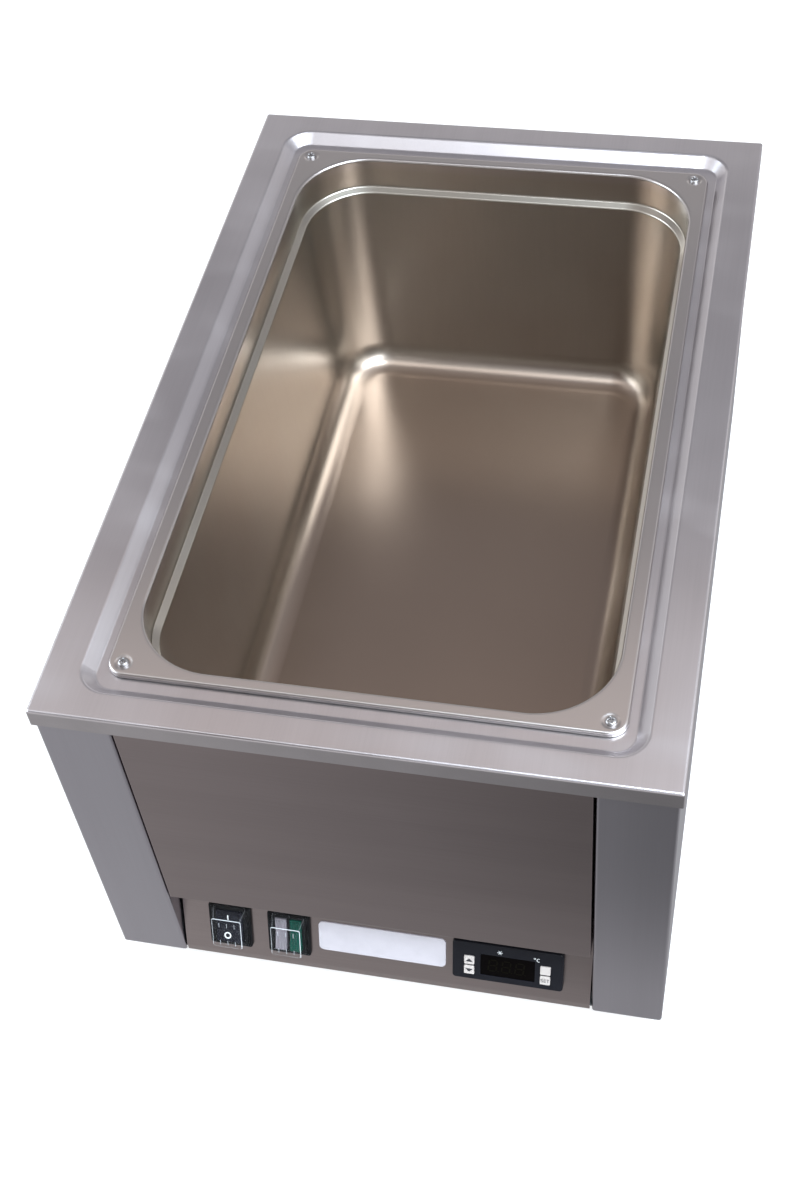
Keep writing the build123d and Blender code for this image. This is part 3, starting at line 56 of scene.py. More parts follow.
def join(tree, value, socket):
    """Give a socket a plain value, or link another node's output to it."""
    if isinstance(value, bpy.types.NodeSocket):
        tree.links.new(value, socket)
    else:
        socket.default_value = value


def add(tree, kind, settings=None, **sockets):
    """Add a node with its settings; each named input takes a plain value or an output."""
    made = tree.nodes.new(kind)
    for key, value in (settings or {}).items():
        setattr(made, key, value)
    for key, value in sockets.items():
        join(tree, value, made.inputs[key.replace("_", " ")])
    return made


def maths(tree, operation, *values):
    """The result of a maths node."""
    made = tree.nodes.new("ShaderNodeMath")
    made.operation = operation
    for value, socket in zip(values, made.inputs):
        join(tree, value, socket)
    return made.outputs[0]


def times(tree, first, second):
    return maths(tree, "MULTIPLY", first, second)


def plus(tree, first, second):
    return maths(tree, "ADD", first, second)


def minus(tree, first, second):
    return maths(tree, "SUBTRACT", first, second)


def spread(tree, value, from_low, from_high, to_low, to_high):
    """A value carried from one range to another, held at the ends."""
    made = add(
        tree, "ShaderNodeMapRange", Value=value,
        From_Min=from_low, From_Max=from_high, To_Min=to_low, To_Max=to_high,
    )
    return made.outputs[0]


def mixed(tree, share, first, second):
    """A colour between two others."""
    made = tree.nodes.new("ShaderNodeMix")
    made.data_type = "RGBA"
    for value, index in ((share, 0), (first, 6), (second, 7)):
        join(tree, value, made.inputs[index])
    return made.outputs[2]


def mixed_shaders(tree, share, first, second):
    """A shader between two others."""
    made = tree.nodes.new("ShaderNodeMixShader")
    for value, socket in zip((share, first, second), made.inputs):
        join(tree, value, socket)
    return made.outputs[0]


def facing(tree, normal, direction):
    """How far a normal points along a direction, from 1 to -1."""
    made = add(tree, "ShaderNodeVectorMath", {"operation": "DOT_PRODUCT"})
    join(tree, normal, made.inputs[0])
    join(tree, direction, made.inputs[1])
    return made.outputs["Value"]


def surface_normal(tree):
    return tree.nodes.new("ShaderNodeNewGeometry").outputs["Normal"]


def object_place(tree):
    return tree.nodes.new("ShaderNodeTexCoord").outputs["Object"]


def shade(colour, factor):
    """A colour made darker or lighter, with full alpha."""
    return tuple(min(1.0, part * factor) for part in colour[:3]) + (1.0,)


# Shared effects of the materials

def new_group(name, inputs, outputs):
    """A shader group with its named sockets: inputs as name, kind and value, and outputs that are numbers."""
    tree = bpy.data.node_groups.new(name, "ShaderNodeTree")
    for label, kind, value in inputs:
        socket = tree.interface.new_socket(label, in_out="INPUT", socket_type="NodeSocket" + kind)
        socket.default_value = value
    for label in outputs:
        tree.interface.new_socket(label, in_out="OUTPUT", socket_type="NodeSocketFloat")
    return tree, tree.nodes.new("NodeGroupInput"), tree.nodes.new("NodeGroupOutput")


def stretched_noise(tree, stretch, detail, roughness=0.6, distortion=0.0):
    """Noise on the object's coordinates, with its own scale along each axis."""
    scaled = add(tree, "ShaderNodeVectorMath", {"operation": "MULTIPLY"})
    join(tree, object_place(tree), scaled.inputs[0])
    join(tree, stretch, scaled.inputs[1])
    made = add(
        tree, "ShaderNodeTexNoise", Vector=scaled.outputs[0], Scale=1.0, Detail=detail,
        Roughness=roughness, Distortion=distortion,
    )
    return made.outputs["Fac"]


def build_brush_lines():
    """Fine parallel lines of a ground surface, with the slow change of tone that goes with them."""
    tree, source, result = new_group(
        "Brush Lines",
        [
            ("Line Scale", "Vector", (8.0, 900.0, 900.0)),
            ("Band Scale", "Vector", (1.0, 40.0, 40.0)),
        ],
        ["Lines", "Bands"],
    )
    join(tree, stretched_noise(tree, source.outputs["Line Scale"], 4.0, 0.7), result.inputs["Lines"])
    join(tree, stretched_noise(tree, source.outputs["Band Scale"], 2.0, 0.5), result.inputs["Bands"])
    return tree


def build_handling_marks():
    """Wiped streaks and faint cloudy patches from cleaning and hands."""
    tree, source, result = new_group(
        "Handling Marks",
        [("Patch Scale", "Vector", (9.0, 9.0, 9.0)), ("Cover", "Float", 0.5)],
        ["Clouds", "Smears"],
    )
    bare_level, full_level, cover_effect = 0.62, 0.9, 0.2
    clouds = stretched_noise(tree, source.outputs["Patch Scale"], 2.0, 0.5)
    smears = stretched_noise(tree, (14.0, 34.0, 14.0), 1.0, 0.4)
    join(tree, clouds, result.inputs["Clouds"])
    low = minus(tree, bare_level, times(tree, source.outputs["Cover"], cover_effect))
    join(tree, spread(tree, smears, low, full_level, 0.0, 1.0), result.inputs["Smears"])
    return tree


def build_edge_wear():
    """A mask of the convex edges, a given width to each side, where edges are lightened for wear and a painted
    highlight.
    """
    tree, source, result = new_group(
        "Edge Wear And Highlight", [("Width", "Float", 0.0008)], ["Edge"]
    )
    rounded = add(tree, "ShaderNodeBevel", {"samples": 4}, Radius=source.outputs["Width"])
    turned = minus(tree, 1.0, facing(tree, rounded.outputs["Normal"], surface_normal(tree)))
    join(tree, spread(tree, turned, 0.02, 0.22, 0.0, 1.0), result.inputs["Edge"])
    return tree


def build_moulded_grain():
    """The fine spark-eroded grain of a moulding, as a height, and a slow change of tone."""
    tree, source, result = new_group(
        "Moulded Grain",
        [("Grain Scale", "Float", 2200.0)],
        ["Grain", "Tone"],
    )
    place = object_place(tree)
    cells = add(tree, "ShaderNodeTexVoronoi", Vector=place, Scale=source.outputs["Grain Scale"])
    fine = add(tree, "ShaderNodeTexNoise", Vector=place, Scale=source.outputs["Grain Scale"], Detail=2.0)
    both = plus(tree, cells.outputs["Distance"], fine.outputs["Fac"])
    join(tree, times(tree, both, 0.5), result.inputs["Grain"])
    join(tree, stretched_noise(tree, (70.0, 70.0, 70.0), 3.0), result.inputs["Tone"])
    return tree


def build_fibres():
    """Matted fibres of a pressed board."""
    tree, source, result = new_group(
        "Matted Fibres",
        [("Fibre Scale", "Vector", (60.0, 900.0, 900.0))],
        ["Fibres", "Tone"],
    )
    first = stretched_noise(tree, source.outputs["Fibre Scale"], 4.0, 0.7, 0.6)
    second = stretched_noise(tree, (800.0, 70.0, 500.0), 4.0, 0.7, 0.8)
    join(tree, maths(tree, "MAXIMUM", first, second), result.inputs["Fibres"])
    join(tree, stretched_noise(tree, (25.0, 25.0, 25.0), 3.0), result.inputs["Tone"])
    return tree


brush_lines = build_brush_lines()
handling_marks = build_handling_marks()
edge_wear_and_highlight = build_edge_wear()
moulded_grain = build_moulded_grain()
matted_fibres = build_fibres()


def effect(tree, group, **sockets):
    """Place a shared effect in a material with its own values; returns its outputs in order."""
    return list(add(tree, "ShaderNodeGroup", {"node_tree": group}, **sockets).outputs)


def wear_and_highlight_edges(tree, colour, width, share, edge_wear_and_glint_colour):
    """A colour with another laid over the convex edges, a given width to each side: partly worn edges, partly a
    painted edge highlight.
    """
    (edge,) = effect(tree, edge_wear_and_highlight, Width=width)
    return mixed(tree, times(tree, edge, share), colour, edge_wear_and_glint_colour)


def new_material(name, **values):
    """A material with its shader's plain values; returns it with its tree and its shader."""
    material = bpy.data.materials.new(name)
    material.use_nodes = True
    shader = material.node_tree.nodes["Principled BSDF"]
    for key, value in values.items():
        shader.inputs[key.replace("_", " ")].default_value = value
    return material, material.node_tree, shader


def bumped(tree, shader, height, strength, distance):
    """Carry a height to the shader's normal."""
    made = add(tree, "ShaderNodeBump", Strength=strength, Distance=distance, Height=height)
    join(tree, made.outputs[0], shader.inputs["Normal"])


def coat(tree, shader, colour, roughness):
    """Carry a colour and a roughness to the shader."""
    join(tree, colour, shader.inputs["Base Color"])
    join(tree, roughness, shader.inputs["Roughness"])


def uneven(tree, value, middle, under, above):
    """A value round a middle one, which follows a slow pattern down and up."""
    return spread(tree, value, 0.3, 0.7, middle - under, middle + above)


# Metals

# Below this roughness the denoiser is guided by what a metal mirrors, and leaves grain and loops in it
least_roughness = 0.278


def coat_metal(tree, shader, colour, roughness):
    """Carry a colour and a roughness to a metal's shader, the roughness never below the least one."""
    coat(tree, shader, colour, maths(tree, "MAXIMUM", roughness, least_roughness))


def ground_steel(name, colour, roughness, line_scale, line_depth, contrast=0.10, edge_sheen_and_wear=1.3):
    """Ground stainless sheet: parallel lines, slow bands, wiped smears, and edges brighter from wear and a painted
    highlight.
    """
    smear, band, lines_per_band = 0.08, 0.24, 22
    material, tree, shader = new_material(name, Metallic=1.0)
    band_scale = tuple(part / lines_per_band for part in line_scale)
    lines, bands = effect(tree, brush_lines, Line_Scale=line_scale, Band_Scale=band_scale)
    clouds, smears = effect(tree, handling_marks, Patch_Scale=(7.0, 7.0, 7.0), Cover=0.5)
    lined = mixed(tree, lines, shade(colour, 1 - contrast), shade(colour, 1 + contrast))
    banded = mixed(tree, uneven(tree, bands, 0.0, 0.0, band), lined, shade(colour, 1.25))
    worn_and_glinting = wear_and_highlight_edges(tree, banded, 0.0007, 0.55, shade(colour, edge_sheen_and_wear))
    soft = uneven(tree, clouds, roughness, 0.03, 0.05)
    coat_metal(tree, shader, worn_and_glinting, plus(tree, soft, times(tree, smears, smear)))
    bumped(tree, shader, lines, line_depth, 0.00004)
    return material


def drawn_steel(name):
    """The pan: satin deep drawn steel, neutral on its flange and warmer and cloudier down inside."""
    rim_colour = (0.48, 0.445, 0.44)
    inside_colour = (0.44, 0.41, 0.37)
    floor_colour = (0.325, 0.25, 0.207)
    edge_wear_and_glint_colour = (0.62, 0.59, 0.57, 1.0)
    flange_level, inside_level, floor_level, wall_level = 0.3062, 0.296, 0.108, 0.128
    material, tree, shader = new_material(name, Metallic=1.0)
    height = add(tree, "ShaderNodeSeparateXYZ", Vector=object_place(tree)).outputs["Z"]
    depth = spread(tree, height, flange_level, inside_level, 0.0, 1.0)
    lines = effect(tree, brush_lines, Line_Scale=(240.0, 240.0, 5.0), Band_Scale=(16.0, 16.0, 2.0))[0]
    clouds, smears = effect(tree, handling_marks, Patch_Scale=(11.0, 11.0, 11.0), Cover=0.9)
    low = spread(tree, height, floor_level, wall_level, 1.0, 0.0)
    lined = mixed(tree, lines, shade(inside_colour, 0.96), shade(inside_colour, 1.04))
    browned = mixed(tree, low, lined, shade(floor_colour, 1.0))
    clouded = mixed(
        tree, spread(tree, clouds, 0.35, 0.75, 0.0, 0.25), browned, shade(floor_colour, 1.05)
    )
    toned = mixed(tree, depth, shade(rim_colour, 1.0), clouded)
    # Lighter edges: partly wear, partly a painted highlight
    worn_and_glinting = wear_and_highlight_edges(tree, toned, 0.0005, 0.2, edge_wear_and_glint_colour)
    soft = spread(tree, clouds, 0.2, 0.8, least_roughness, least_roughness + 0.01)
    coat_metal(tree, shader, worn_and_glinting, plus(tree, soft, times(tree, smears, 0.015)))
    bumped(tree, shader, lines, 0.02, 0.00002)
    return material


def plain_metal(name, colour, roughness, grain=900.0, tarnish=0.8):
    """Small metal pieces: a fine cast or rolled grain, dulled in patches, and bright on the edges from wear and a
    painted highlight.
    """
    material, tree, shader = new_material(name, Metallic=1.0)
    grain_height, tone = effect(tree, moulded_grain, Grain_Scale=grain)
    toned = mixed(tree, tone, shade(colour, tarnish), shade(colour, 1.08))
    worn_and_glinting = wear_and_highlight_edges(tree, toned, 0.0004, 0.6, shade(colour, 1.35))
    coat_metal(tree, shader, worn_and_glinting, uneven(tree, tone, roughness, 0.05, 0.08))
    bumped(tree, shader, grain_height, 0.15, 0.00004)
    return material


# Plastics, rubber, board and wire

def moulded(name, colour, roughness, grain=2200.0, depth=0.2, edge_glint_and_wear=1.8, **values):
    """Moulded plastic or rubber: fine grain, a slow change of tone, and edges lighter from rubbing and a painted
    highlight.
    """
    material, tree, shader = new_material(name, **values)
    grain_height, tone = effect(tree, moulded_grain, Grain_Scale=grain)
    toned = mixed(tree, tone, shade(colour, 0.88), shade(colour, 1.1))
    worn_and_glinting = wear_and_highlight_edges(tree, toned, 0.0004, 0.5, shade(colour, edge_glint_and_wear))
    coat(tree, shader, worn_and_glinting, uneven(tree, tone, roughness, 0.04, 0.06))
    bumped(tree, shader, grain_height, depth, 0.00003)
    return material


def hood_plastic(name, colour, front):
    """Thin clear plastic: nearly unseen on its faces, with a painted highlight along the rounded edges of its front.
    """
    face_cover, edge_highlight_cover, smear_cover = 0.004, 0.6, 0.006
    material, tree, shader = new_material(name)
    clouds, smears = effect(tree, handling_marks, Patch_Scale=(160.0, 160.0, 160.0), Cover=0.4)
    toned = mixed(tree, clouds, shade(colour, 0.94), shade(colour, 1.04))
    coat(tree, shader, toned, spread(tree, clouds, 0.3, 0.7, 0.05, 0.12))
    turned = facing(tree, surface_normal(tree), front)
    painted_edge_highlight = times(
        tree, spread(tree, turned, 0.46, 0.62, 0.0, 1.0), spread(tree, turned, 0.93, 0.99, 1.0, 0.0)
    )
    face_and_highlight_cover = spread(tree, painted_edge_highlight, 0.0, 1.0, face_cover, edge_highlight_cover)
    smeared_and_highlighted = plus(tree, face_and_highlight_cover, times(tree, smears, smear_cover))
    join(tree, smeared_and_highlighted, shader.inputs["Alpha"])
    bumped(tree, shader, clouds, 0.06, 0.0002)
    return material


def pressed_board(name, colour):
    """Pressed mineral wool."""
    material, tree, shader = new_material(name, Sheen_Weight=0.2)
    fibres, tone = effect(tree, matted_fibres, Fibre_Scale=(60.0, 900.0, 900.0))
    lined = mixed(tree, fibres, shade(colour, 0.6), shade(colour, 1.1))
    toned = mixed(tree, spread(tree, tone, 0.35, 0.7, 0.0, 0.5), lined, shade(colour, 0.8))
    coat(tree, shader, toned, spread(tree, fibres, 0.3, 0.7, 0.95, 0.8))
    bumped(tree, shader, fibres, 0.7, 0.0006)
    return material


def printed(name, colour, roughness=0.5, **values):
    """Screen-printed ink, slightly uneven."""
    material, tree, shader = new_material(name, **values)
    grain_height, tone = effect(tree, moulded_grain, Grain_Scale=5000.0)
    toned = mixed(tree, grain_height, shade(colour, 0.9), shade(colour, 1.05))
    coat(tree, shader, toned, uneven(tree, tone, roughness, 0.05, 0.05))
    return material


along_x, along_y, along_z = (9.0, 900.0, 900.0), (900.0, 9.0, 900.0), (900.0, 900.0, 9.0)
# The edge factors lighten the edges, partly for wear and partly as a painted highlight, most on the front plate and
# the control strip
top_steel = ground_steel("Top Frame Steel", (0.50, 0.47, 0.49), 0.32, along_y, 0.22, contrast=0.07, edge_sheen_and_wear=1.0)
column_steel = ground_steel("Side Steel", (0.465, 0.45, 0.50), 0.20, along_z, 0.10, contrast=0.05)
# The front plate's steel is a darker copy of the top frame's steel: painted shade for the dark surroundings it
# mirrors
front_steel_painted_shade = ground_steel("Front Plate Steel", (0.305, 0.258, 0.262), 0.26, along_x, 0.25, edge_sheen_and_wear=2.6)
strip_steel = ground_steel("Control Strip Steel", (0.40, 0.345, 0.345), 0.28, along_x, 0.22, edge_sheen_and_wear=2.0)
pan_steel = drawn_steel("Drawn Pan Steel")
screw_steel = plain_metal("Bright Screw Steel", (0.33, 0.315, 0.32), 0.32)
zinc = plain_metal("Zinc Plate", (0.50, 0.51, 0.53), 0.38, grain=260.0, tarnish=0.7)
aluminium = plain_metal("Mill Aluminium", (0.70, 0.71, 0.72), 0.34, grain=500.0)
brass = plain_metal("Brass", (0.66, 0.50, 0.22), 0.26)
copper = plain_metal("Drawn Copper", (0.68, 0.36, 0.22), 0.28)
gasket_rubber = moulded("Silicone Gasket", (0.035, 0.034, 0.034), 0.55)
foot_rubber = moulded("Foot Rubber", (0.018, 0.018, 0.019), 0.72, grain=1400.0, depth=0.35)
housing_black = moulded("Housing Black", (0.005, 0.005, 0.006), 0.42, edge_glint_and_wear=4.0, Specular_IOR_Level=0.15)
bezel_black = moulded(
    "Bezel Black", (0.007, 0.007, 0.010), 0.36, grain=3000.0, depth=0.15, edge_glint_and_wear=5.0, Specular_IOR_Level=0.2
)
rocker_black = moulded(
    "Rocker Black", (0.007, 0.007, 0.011), 0.26, grain=3500.0, depth=0.06, edge_glint_and_wear=6.0, Specular_IOR_Level=0.15
)
lens_white = moulded("Clear Lens", (0.25, 0.225, 0.25), 0.18, depth=0.05, edge_glint_and_wear=1.5, Transmission_Weight=0.25)
lens_green = moulded(
    "Green Lens", (0.002, 0.06, 0.042), 0.20, depth=0.05, edge_glint_and_wear=3.0,
    Transmission_Weight=0.25, Specular_IOR_Level=0.2,
)
# The hood's pale colour shows mostly along its painted edge highlight
hood_clear = hood_plastic("Clear Hood", (0.88, 0.89, 0.92), strip_out)
# The ribs inside the clear hoods are coloured opaque grey: a painted glint on ribs of clear plastic
hood_rib_glint = printed("Hood Ribs", (0.42, 0.43, 0.46), 0.3)
window_smoked = moulded(
    "Smoked Window", (0.002, 0.0015, 0.0015), 0.10, depth=0.02, edge_glint_and_wear=2.0, Specular_IOR_Level=0.03
)
label_white = moulded("Label White", (0.458, 0.422, 0.450), 0.32, grain=4000.0, depth=0.04, edge_glint_and_wear=1.1)
key_grey = moulded("Key Grey", (0.46, 0.405, 0.38), 0.42, depth=0.15, edge_glint_and_wear=1.2)
board_green = moulded("Board Lacquer", (0.03, 0.16, 0.07), 0.25, grain=700.0)
display_grey = moulded("Display Grey", (0.09, 0.09, 0.09), 0.5)
mat_red = moulded("Heating Mat", (0.42, 0.12, 0.06), 0.6, grain=600.0, depth=0.5)
ceramic_white = moulded("White Moulding", (0.70, 0.69, 0.66), 0.4)
wire_black = moulded("Wire Black", (0.02, 0.02, 0.02), 0.5, grain=1200.0)
wire_red = moulded("Wire Red", (0.35, 0.03, 0.025), 0.5, grain=1200.0)
wool = pressed_board("Mineral Wool", (0.62, 0.56, 0.42))
ink_white = printed("White Ink", (0.62, 0.62, 0.62))
ink_dark = printed("Dark Ink", (0.03, 0.03, 0.035))
segment_dark = printed("Dark Segments", (0.003, 0.0025, 0.001), 0.5, Specular_IOR_Level=0.05)

finishes = {
    top_steel: ["top_frame"],
    column_steel: ["left_side_panel", "right_side_panel", "rear_panel"],
    front_steel_painted_shade: ["front_plate"],
    strip_steel: ["control_strip"],
    pan_steel: ["pan"],
    screw_steel: ["pan_screws", "case_screws", "inlet_screws", "front_plate_rivets", "pan_probe"],
    zinc: [
        "base_plate", "pan_captive_nuts", "foot_studs", "foot_nuts", "clamp_bars", "clamp_nuts",
        "thermostat_bracket", "earth_stud", "probe_clips",
    ],
    aluminium: ["heat_spreader"],
    brass: ["switch_blades", "inlet_pins"],
    copper: ["overheat_capillary"],
    gasket_rubber: ["pan_gasket"],
    foot_rubber: ["feet"],
    housing_black: [
        "main_switch_housing", "twin_switch_housing", "controller_case", "controller_clips", "mains_inlet",
        "solid_state_relay",
    ],
    bezel_black: ["controller_front"],
    rocker_black: ["main_rocker"],
    lens_white: ["clear_rocker"],
    lens_green: ["green_rocker"],
    hood_clear: ["main_switch_hood", "twin_switch_hood"],
    window_smoked: ["controller_window"],
    label_white: ["label_plate"],
    key_grey: ["key_up", "key_down", "key_blank", "key_set"],
    board_green: ["controller_board", "controller_terminals"],
    display_grey: ["display_module", "key_switches"],
    mat_red: ["heating_mat"],
    ceramic_white: ["overheat_thermostat", "terminal_block"],
    wire_black: ["mains_wiring", "control_wiring"],
    wire_red: ["heater_leads"],
    wool: ["base_insulation", "left_insulation", "right_insulation", "front_insulation", "rear_insulation"],
}
for finish, names in finishes.items():
    for name in names:
        for holder in nodes[name].material_slots:
            holder.material = finish


# Places on the control strip

main_switch_x = -112.0
twin_switch_x = -68.5
lens_offset = 5.35
controller_x, controller_lift, controller_proud = 89.5, 2.5, 5.0
window_level = 4.6
key_columns = (-27.0, 26.5)
key_rows = (1.1, -8.2)
key_level = 5.8


def on_strip(x, y, out):
    """A point on the control strip."""
    return strip_origin + MM * (x * Vector((1, 0, 0)) + y * strip_up + out * strip_out)


# Making of pieces

def new_object(name, data):
    """An object of some data, linked to the scene."""
    made = bpy.data.objects.new(name, data)
    scene.collection.objects.link(made)
    return made


def close_shape(shape):
    """Join the points of a bmesh that meet, and turn its faces outwards."""
    bmesh.ops.remove_doubles(shape, verts=shape.verts, dist=1e-7)
    bmesh.ops.recalc_face_normals(shape, faces=shape.faces)


def smooth_faces(shape):
    for face in shape.faces:
        face.smooth = True


def end_shape(shape, mesh):
    """Put a bmesh into a mesh and free it."""
    shape.to_mesh(mesh)
    shape.free()
    return mesh


def new_piece(name, build, material, body):
    """A piece from a function that fills a bmesh; it rides on a body and takes a slot's finish."""
    shape = bmesh.new()
    build(shape)
    close_shape(shape)
    return finish_piece(name, end_shape(shape, bpy.data.meshes.new(name)), material, body)


def finish_piece(name, mesh, material, body):
    """Place a ready mesh in the scene as a piece of the object."""
    if material is not None:
        mesh.materials.clear()
        mesh.materials.append(material)
    made = new_object(name, mesh)
    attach(made, body)
    return made


def wrap(shape, first, second):
    """Close the gap between two rings of points with faces."""
    for index in range(len(first)):
        after = (index + 1) % len(first)
        shape.faces.new((first[index], first[after], second[after], second[index]))


def circle(radius, steps):
    """The points round a circle, as pairs of x and y."""
    return [(radius * cos(2 * pi * i / steps), radius * sin(2 * pi * i / steps)) for i in range(steps)]


def slab(shape, outline, place, low, high):
    """A thin slab over a closed outline of x and y, between two heights of a placing function."""
    lower = [shape.verts.new(place(x, y, low)) for x, y in outline]
    upper = [shape.verts.new(place(x, y, high)) for x, y in outline]
    shape.faces.new(lower[::-1])
    shape.faces.new(upper)
    wrap(shape, lower, upper)


def ring(shape, centre, outer, inner, place, low, high, steps=40):
    """A flat ring between two radii."""
    rows = []
    for radius, level in ((outer, low), (outer, high), (inner, high), (inner, low)):
        rows.append([shape.verts.new(place(centre[0] + x, centre[1] + y, level)) for x, y in circle(radius, steps)])
    for first, second in zip(rows, rows[1:] + rows[:1]):
        wrap(shape, first, second)


def bar(x, y, width, height, turn=0.0):
    """The outline of a rectangle about a point, turned in its plane."""
    a, b = width / 2, height / 2
    corners = [(-a, -b), (a, -b), (a, b), (-a, b)]
    return [(x + a * cos(turn) - b * sin(turn), y + a * sin(turn) + b * cos(turn)) for a, b in corners]


# Printed marks: I and O on the black rocker, arrows and the setting word on the keys

ink_low, ink_high = -0.03, 0.04
rocker_flat_level = 3.5
rocker_rise = tan(radians(14))
rocker_valley_y = 0.675


def raised_level(y):
    """How far the raised lower half of a rocker stands out at a height."""
    return rocker_flat_level + rocker_rise * (rocker_valley_y - y)


def upper_half(x, y, out):
    """A point over the pressed half of the black rocker."""
    return on_strip(main_switch_x + x, y, rocker_flat_level + out)


def lower_half(x, y, out):
    """A point over the raised half of the black rocker."""
    return on_strip(main_switch_x + x, y, raised_level(y) + out)


def build_switch_marks(shape):
    """I on the half that is pressed at rest, and O on the raised half."""
    slab(shape, bar(-1.2, 8.0, 0.9, 4.6), upper_half, ink_low, ink_high)
    ring(shape, (-1.6, -7.4), 2.6, 1.6, lower_half, ink_low, ink_high)


def over_key(column, row):
    """A placing function over the face of one key."""
    def place(x, y, out):
        centre_x, centre_y = controller_x + key_columns[column], controller_lift + key_rows[row]
        return on_strip(centre_x + x, centre_y + y, key_level + out)
    return place


def build_arrow(direction):
    """A function that draws an arrow up or down on its key."""
    def build(shape):
        outline = [(-2.7, -1.4 * direction), (2.7, -1.4 * direction), (0.0, 1.8 * direction)]
        slab(shape, outline, over_key(0, 0 if direction > 0 else 1), ink_low, ink_high)
    return build


def build_setting_word(shape):
    """The word SET in plain bars."""
    long, short, thick, side, rise = 1.6, 1.3, 0.42, 0.6, 0.65
    place = over_key(1, 1)
    bars = {
        -2.1: ["top", "middle", "bottom", "upper_left", "lower_right"],
        0.0: ["top", "middle", "bottom", "upper_left", "lower_left"],
        2.1: ["top", "stem"],
    }
    for x, strokes in bars.items():
        spots = {
            "top": bar(x, short, long, thick), "middle": bar(x, 0.0, long, thick),
            "bottom": bar(x, -short, long, thick), "upper_left": bar(x - side, rise, thick, short),
            "lower_left": bar(x - side, -rise, thick, short), "lower_right": bar(x + side, -rise, thick, short),
            "stem": bar(x, -0.1, thick, 2 * short),
        }
        for stroke in strokes:
            slab(shape, spots[stroke], place, ink_low, ink_high)


def over_controller(x, y, out):
    """A point over the controller's front."""
    return on_strip(controller_x + x, controller_lift + y, controller_proud + out)


def build_controller_marks(shape):
    """The cooling star above the window, and the degree sign with its letter C to the right of it."""
    for turn in (0, 60, 120):
        slab(shape, bar(-5.5, 11.6, 3.8, 0.42, radians(turn)), over_controller, ink_low, ink_high)
    ring(shape, (18.8, 10.9), 0.75, 0.4, over_controller, ink_low, ink_high, steps=20)
    arc = [(21.5 + 1.35 * cos(radians(a)), 9.7 + 1.7 * sin(radians(a))) for a in range(50, 311, 20)]
    inner = [(21.5 + 0.9 * cos(radians(a)), 9.7 + 1.25 * sin(radians(a))) for a in range(310, 49, -20)]
    slab(shape, arc + inner, over_controller, ink_low, ink_high)


def over_window(x, y, out):
    """A point over the smoked window, leaning with the figures."""
    lean, drop = 0.10, 1.9
    return on_strip(controller_x + x + lean * y, controller_lift - drop + y, window_level + out)


def build_display_figures(shape):
    """The unlit bars of the display's three figures, just seen through the window."""
    width, height, stroke, gap, point_gap = 5.6, 10.4, 1.0, 0.25, 1.6
    for x in (-10.5, -1.0, 8.5):
        for y in (height / 2, 0.0, -height / 2):
            slab(shape, bar(x, y, width - stroke - 2 * gap, stroke), over_window, ink_low, ink_high / 2)
        for side in (-1, 1):
            for half in (-1, 1):
                middle = (x + side * width / 2, half * height / 4)
                slab(shape, bar(*middle, stroke, height / 2 - stroke - gap), over_window, ink_low, ink_high / 2)
        point = bar(x + width / 2 + point_gap, -height / 2, stroke, stroke)
        slab(shape, point, over_window, ink_low, ink_high / 2)


new_piece("switch_marks", build_switch_marks, ink_white, "main_rocker_body")
new_piece("up_arrow", build_arrow(1), ink_dark, "key_up_body")
new_piece("down_arrow", build_arrow(-1), ink_dark, "key_down_body")
new_piece("setting_word", build_setting_word, ink_dark, "key_set_body")
new_piece("controller_marks", build_controller_marks, ink_white, "casing")
new_piece("display_figures", build_display_figures, segment_dark, "casing")


# Geometry Nodes: shared ways of making what repeats

def new_geometry_tree(name, inputs):
    """A geometry tree with a geometry input, named inputs and a geometry output."""
    tree = bpy.data.node_groups.new(name, "GeometryNodeTree")
    tree.interface.new_socket("Geometry", in_out="INPUT", socket_type="NodeSocketGeometry")
    for label, kind, value in inputs:
        socket = tree.interface.new_socket(label, in_out="INPUT", socket_type="NodeSocket" + kind)
        if value is not None:
            socket.default_value = value
    tree.interface.new_socket("Geometry", in_out="OUTPUT", socket_type="NodeSocketGeometry")
    return tree, tree.nodes.new("NodeGroupInput"), tree.nodes.new("NodeGroupOutput")


def end_tree(tree, geometry, material, result):
    """End a geometry tree with realized instances and a set material."""
    real = add(tree, "GeometryNodeRealizeInstances", Geometry=geometry)
    finished = add(tree, "GeometryNodeSetMaterial", Geometry=real.outputs[0], Material=material)
    join(tree, finished.outputs[0], result.inputs[0])


def grow(tree, mesh, **values):
    """The plain mesh that a geometry tree makes from a starting mesh and its inputs' values."""
    holder = new_object("grower", mesh)
    modifier = holder.modifiers.new("grow", "NODES")
    modifier.node_group = tree
    names = {item.name: item.identifier for item in tree.interface.items_tree if item.in_out == "INPUT"}
    for key, value in values.items():
        modifier[names[key.replace("_", " ")]] = value
    bpy.context.view_layer.update()
    result = bpy.data.meshes.new_from_object(holder.evaluated_get(bpy.context.evaluated_depsgraph_get()))
    bpy.data.objects.remove(holder)
    return result


def starting_mesh(name, points, edges=()):
    """A bare mesh of points and edges for a geometry tree to work from."""
    mesh = bpy.data.meshes.new(name)
    mesh.from_pydata(points, edges, [])
    return mesh


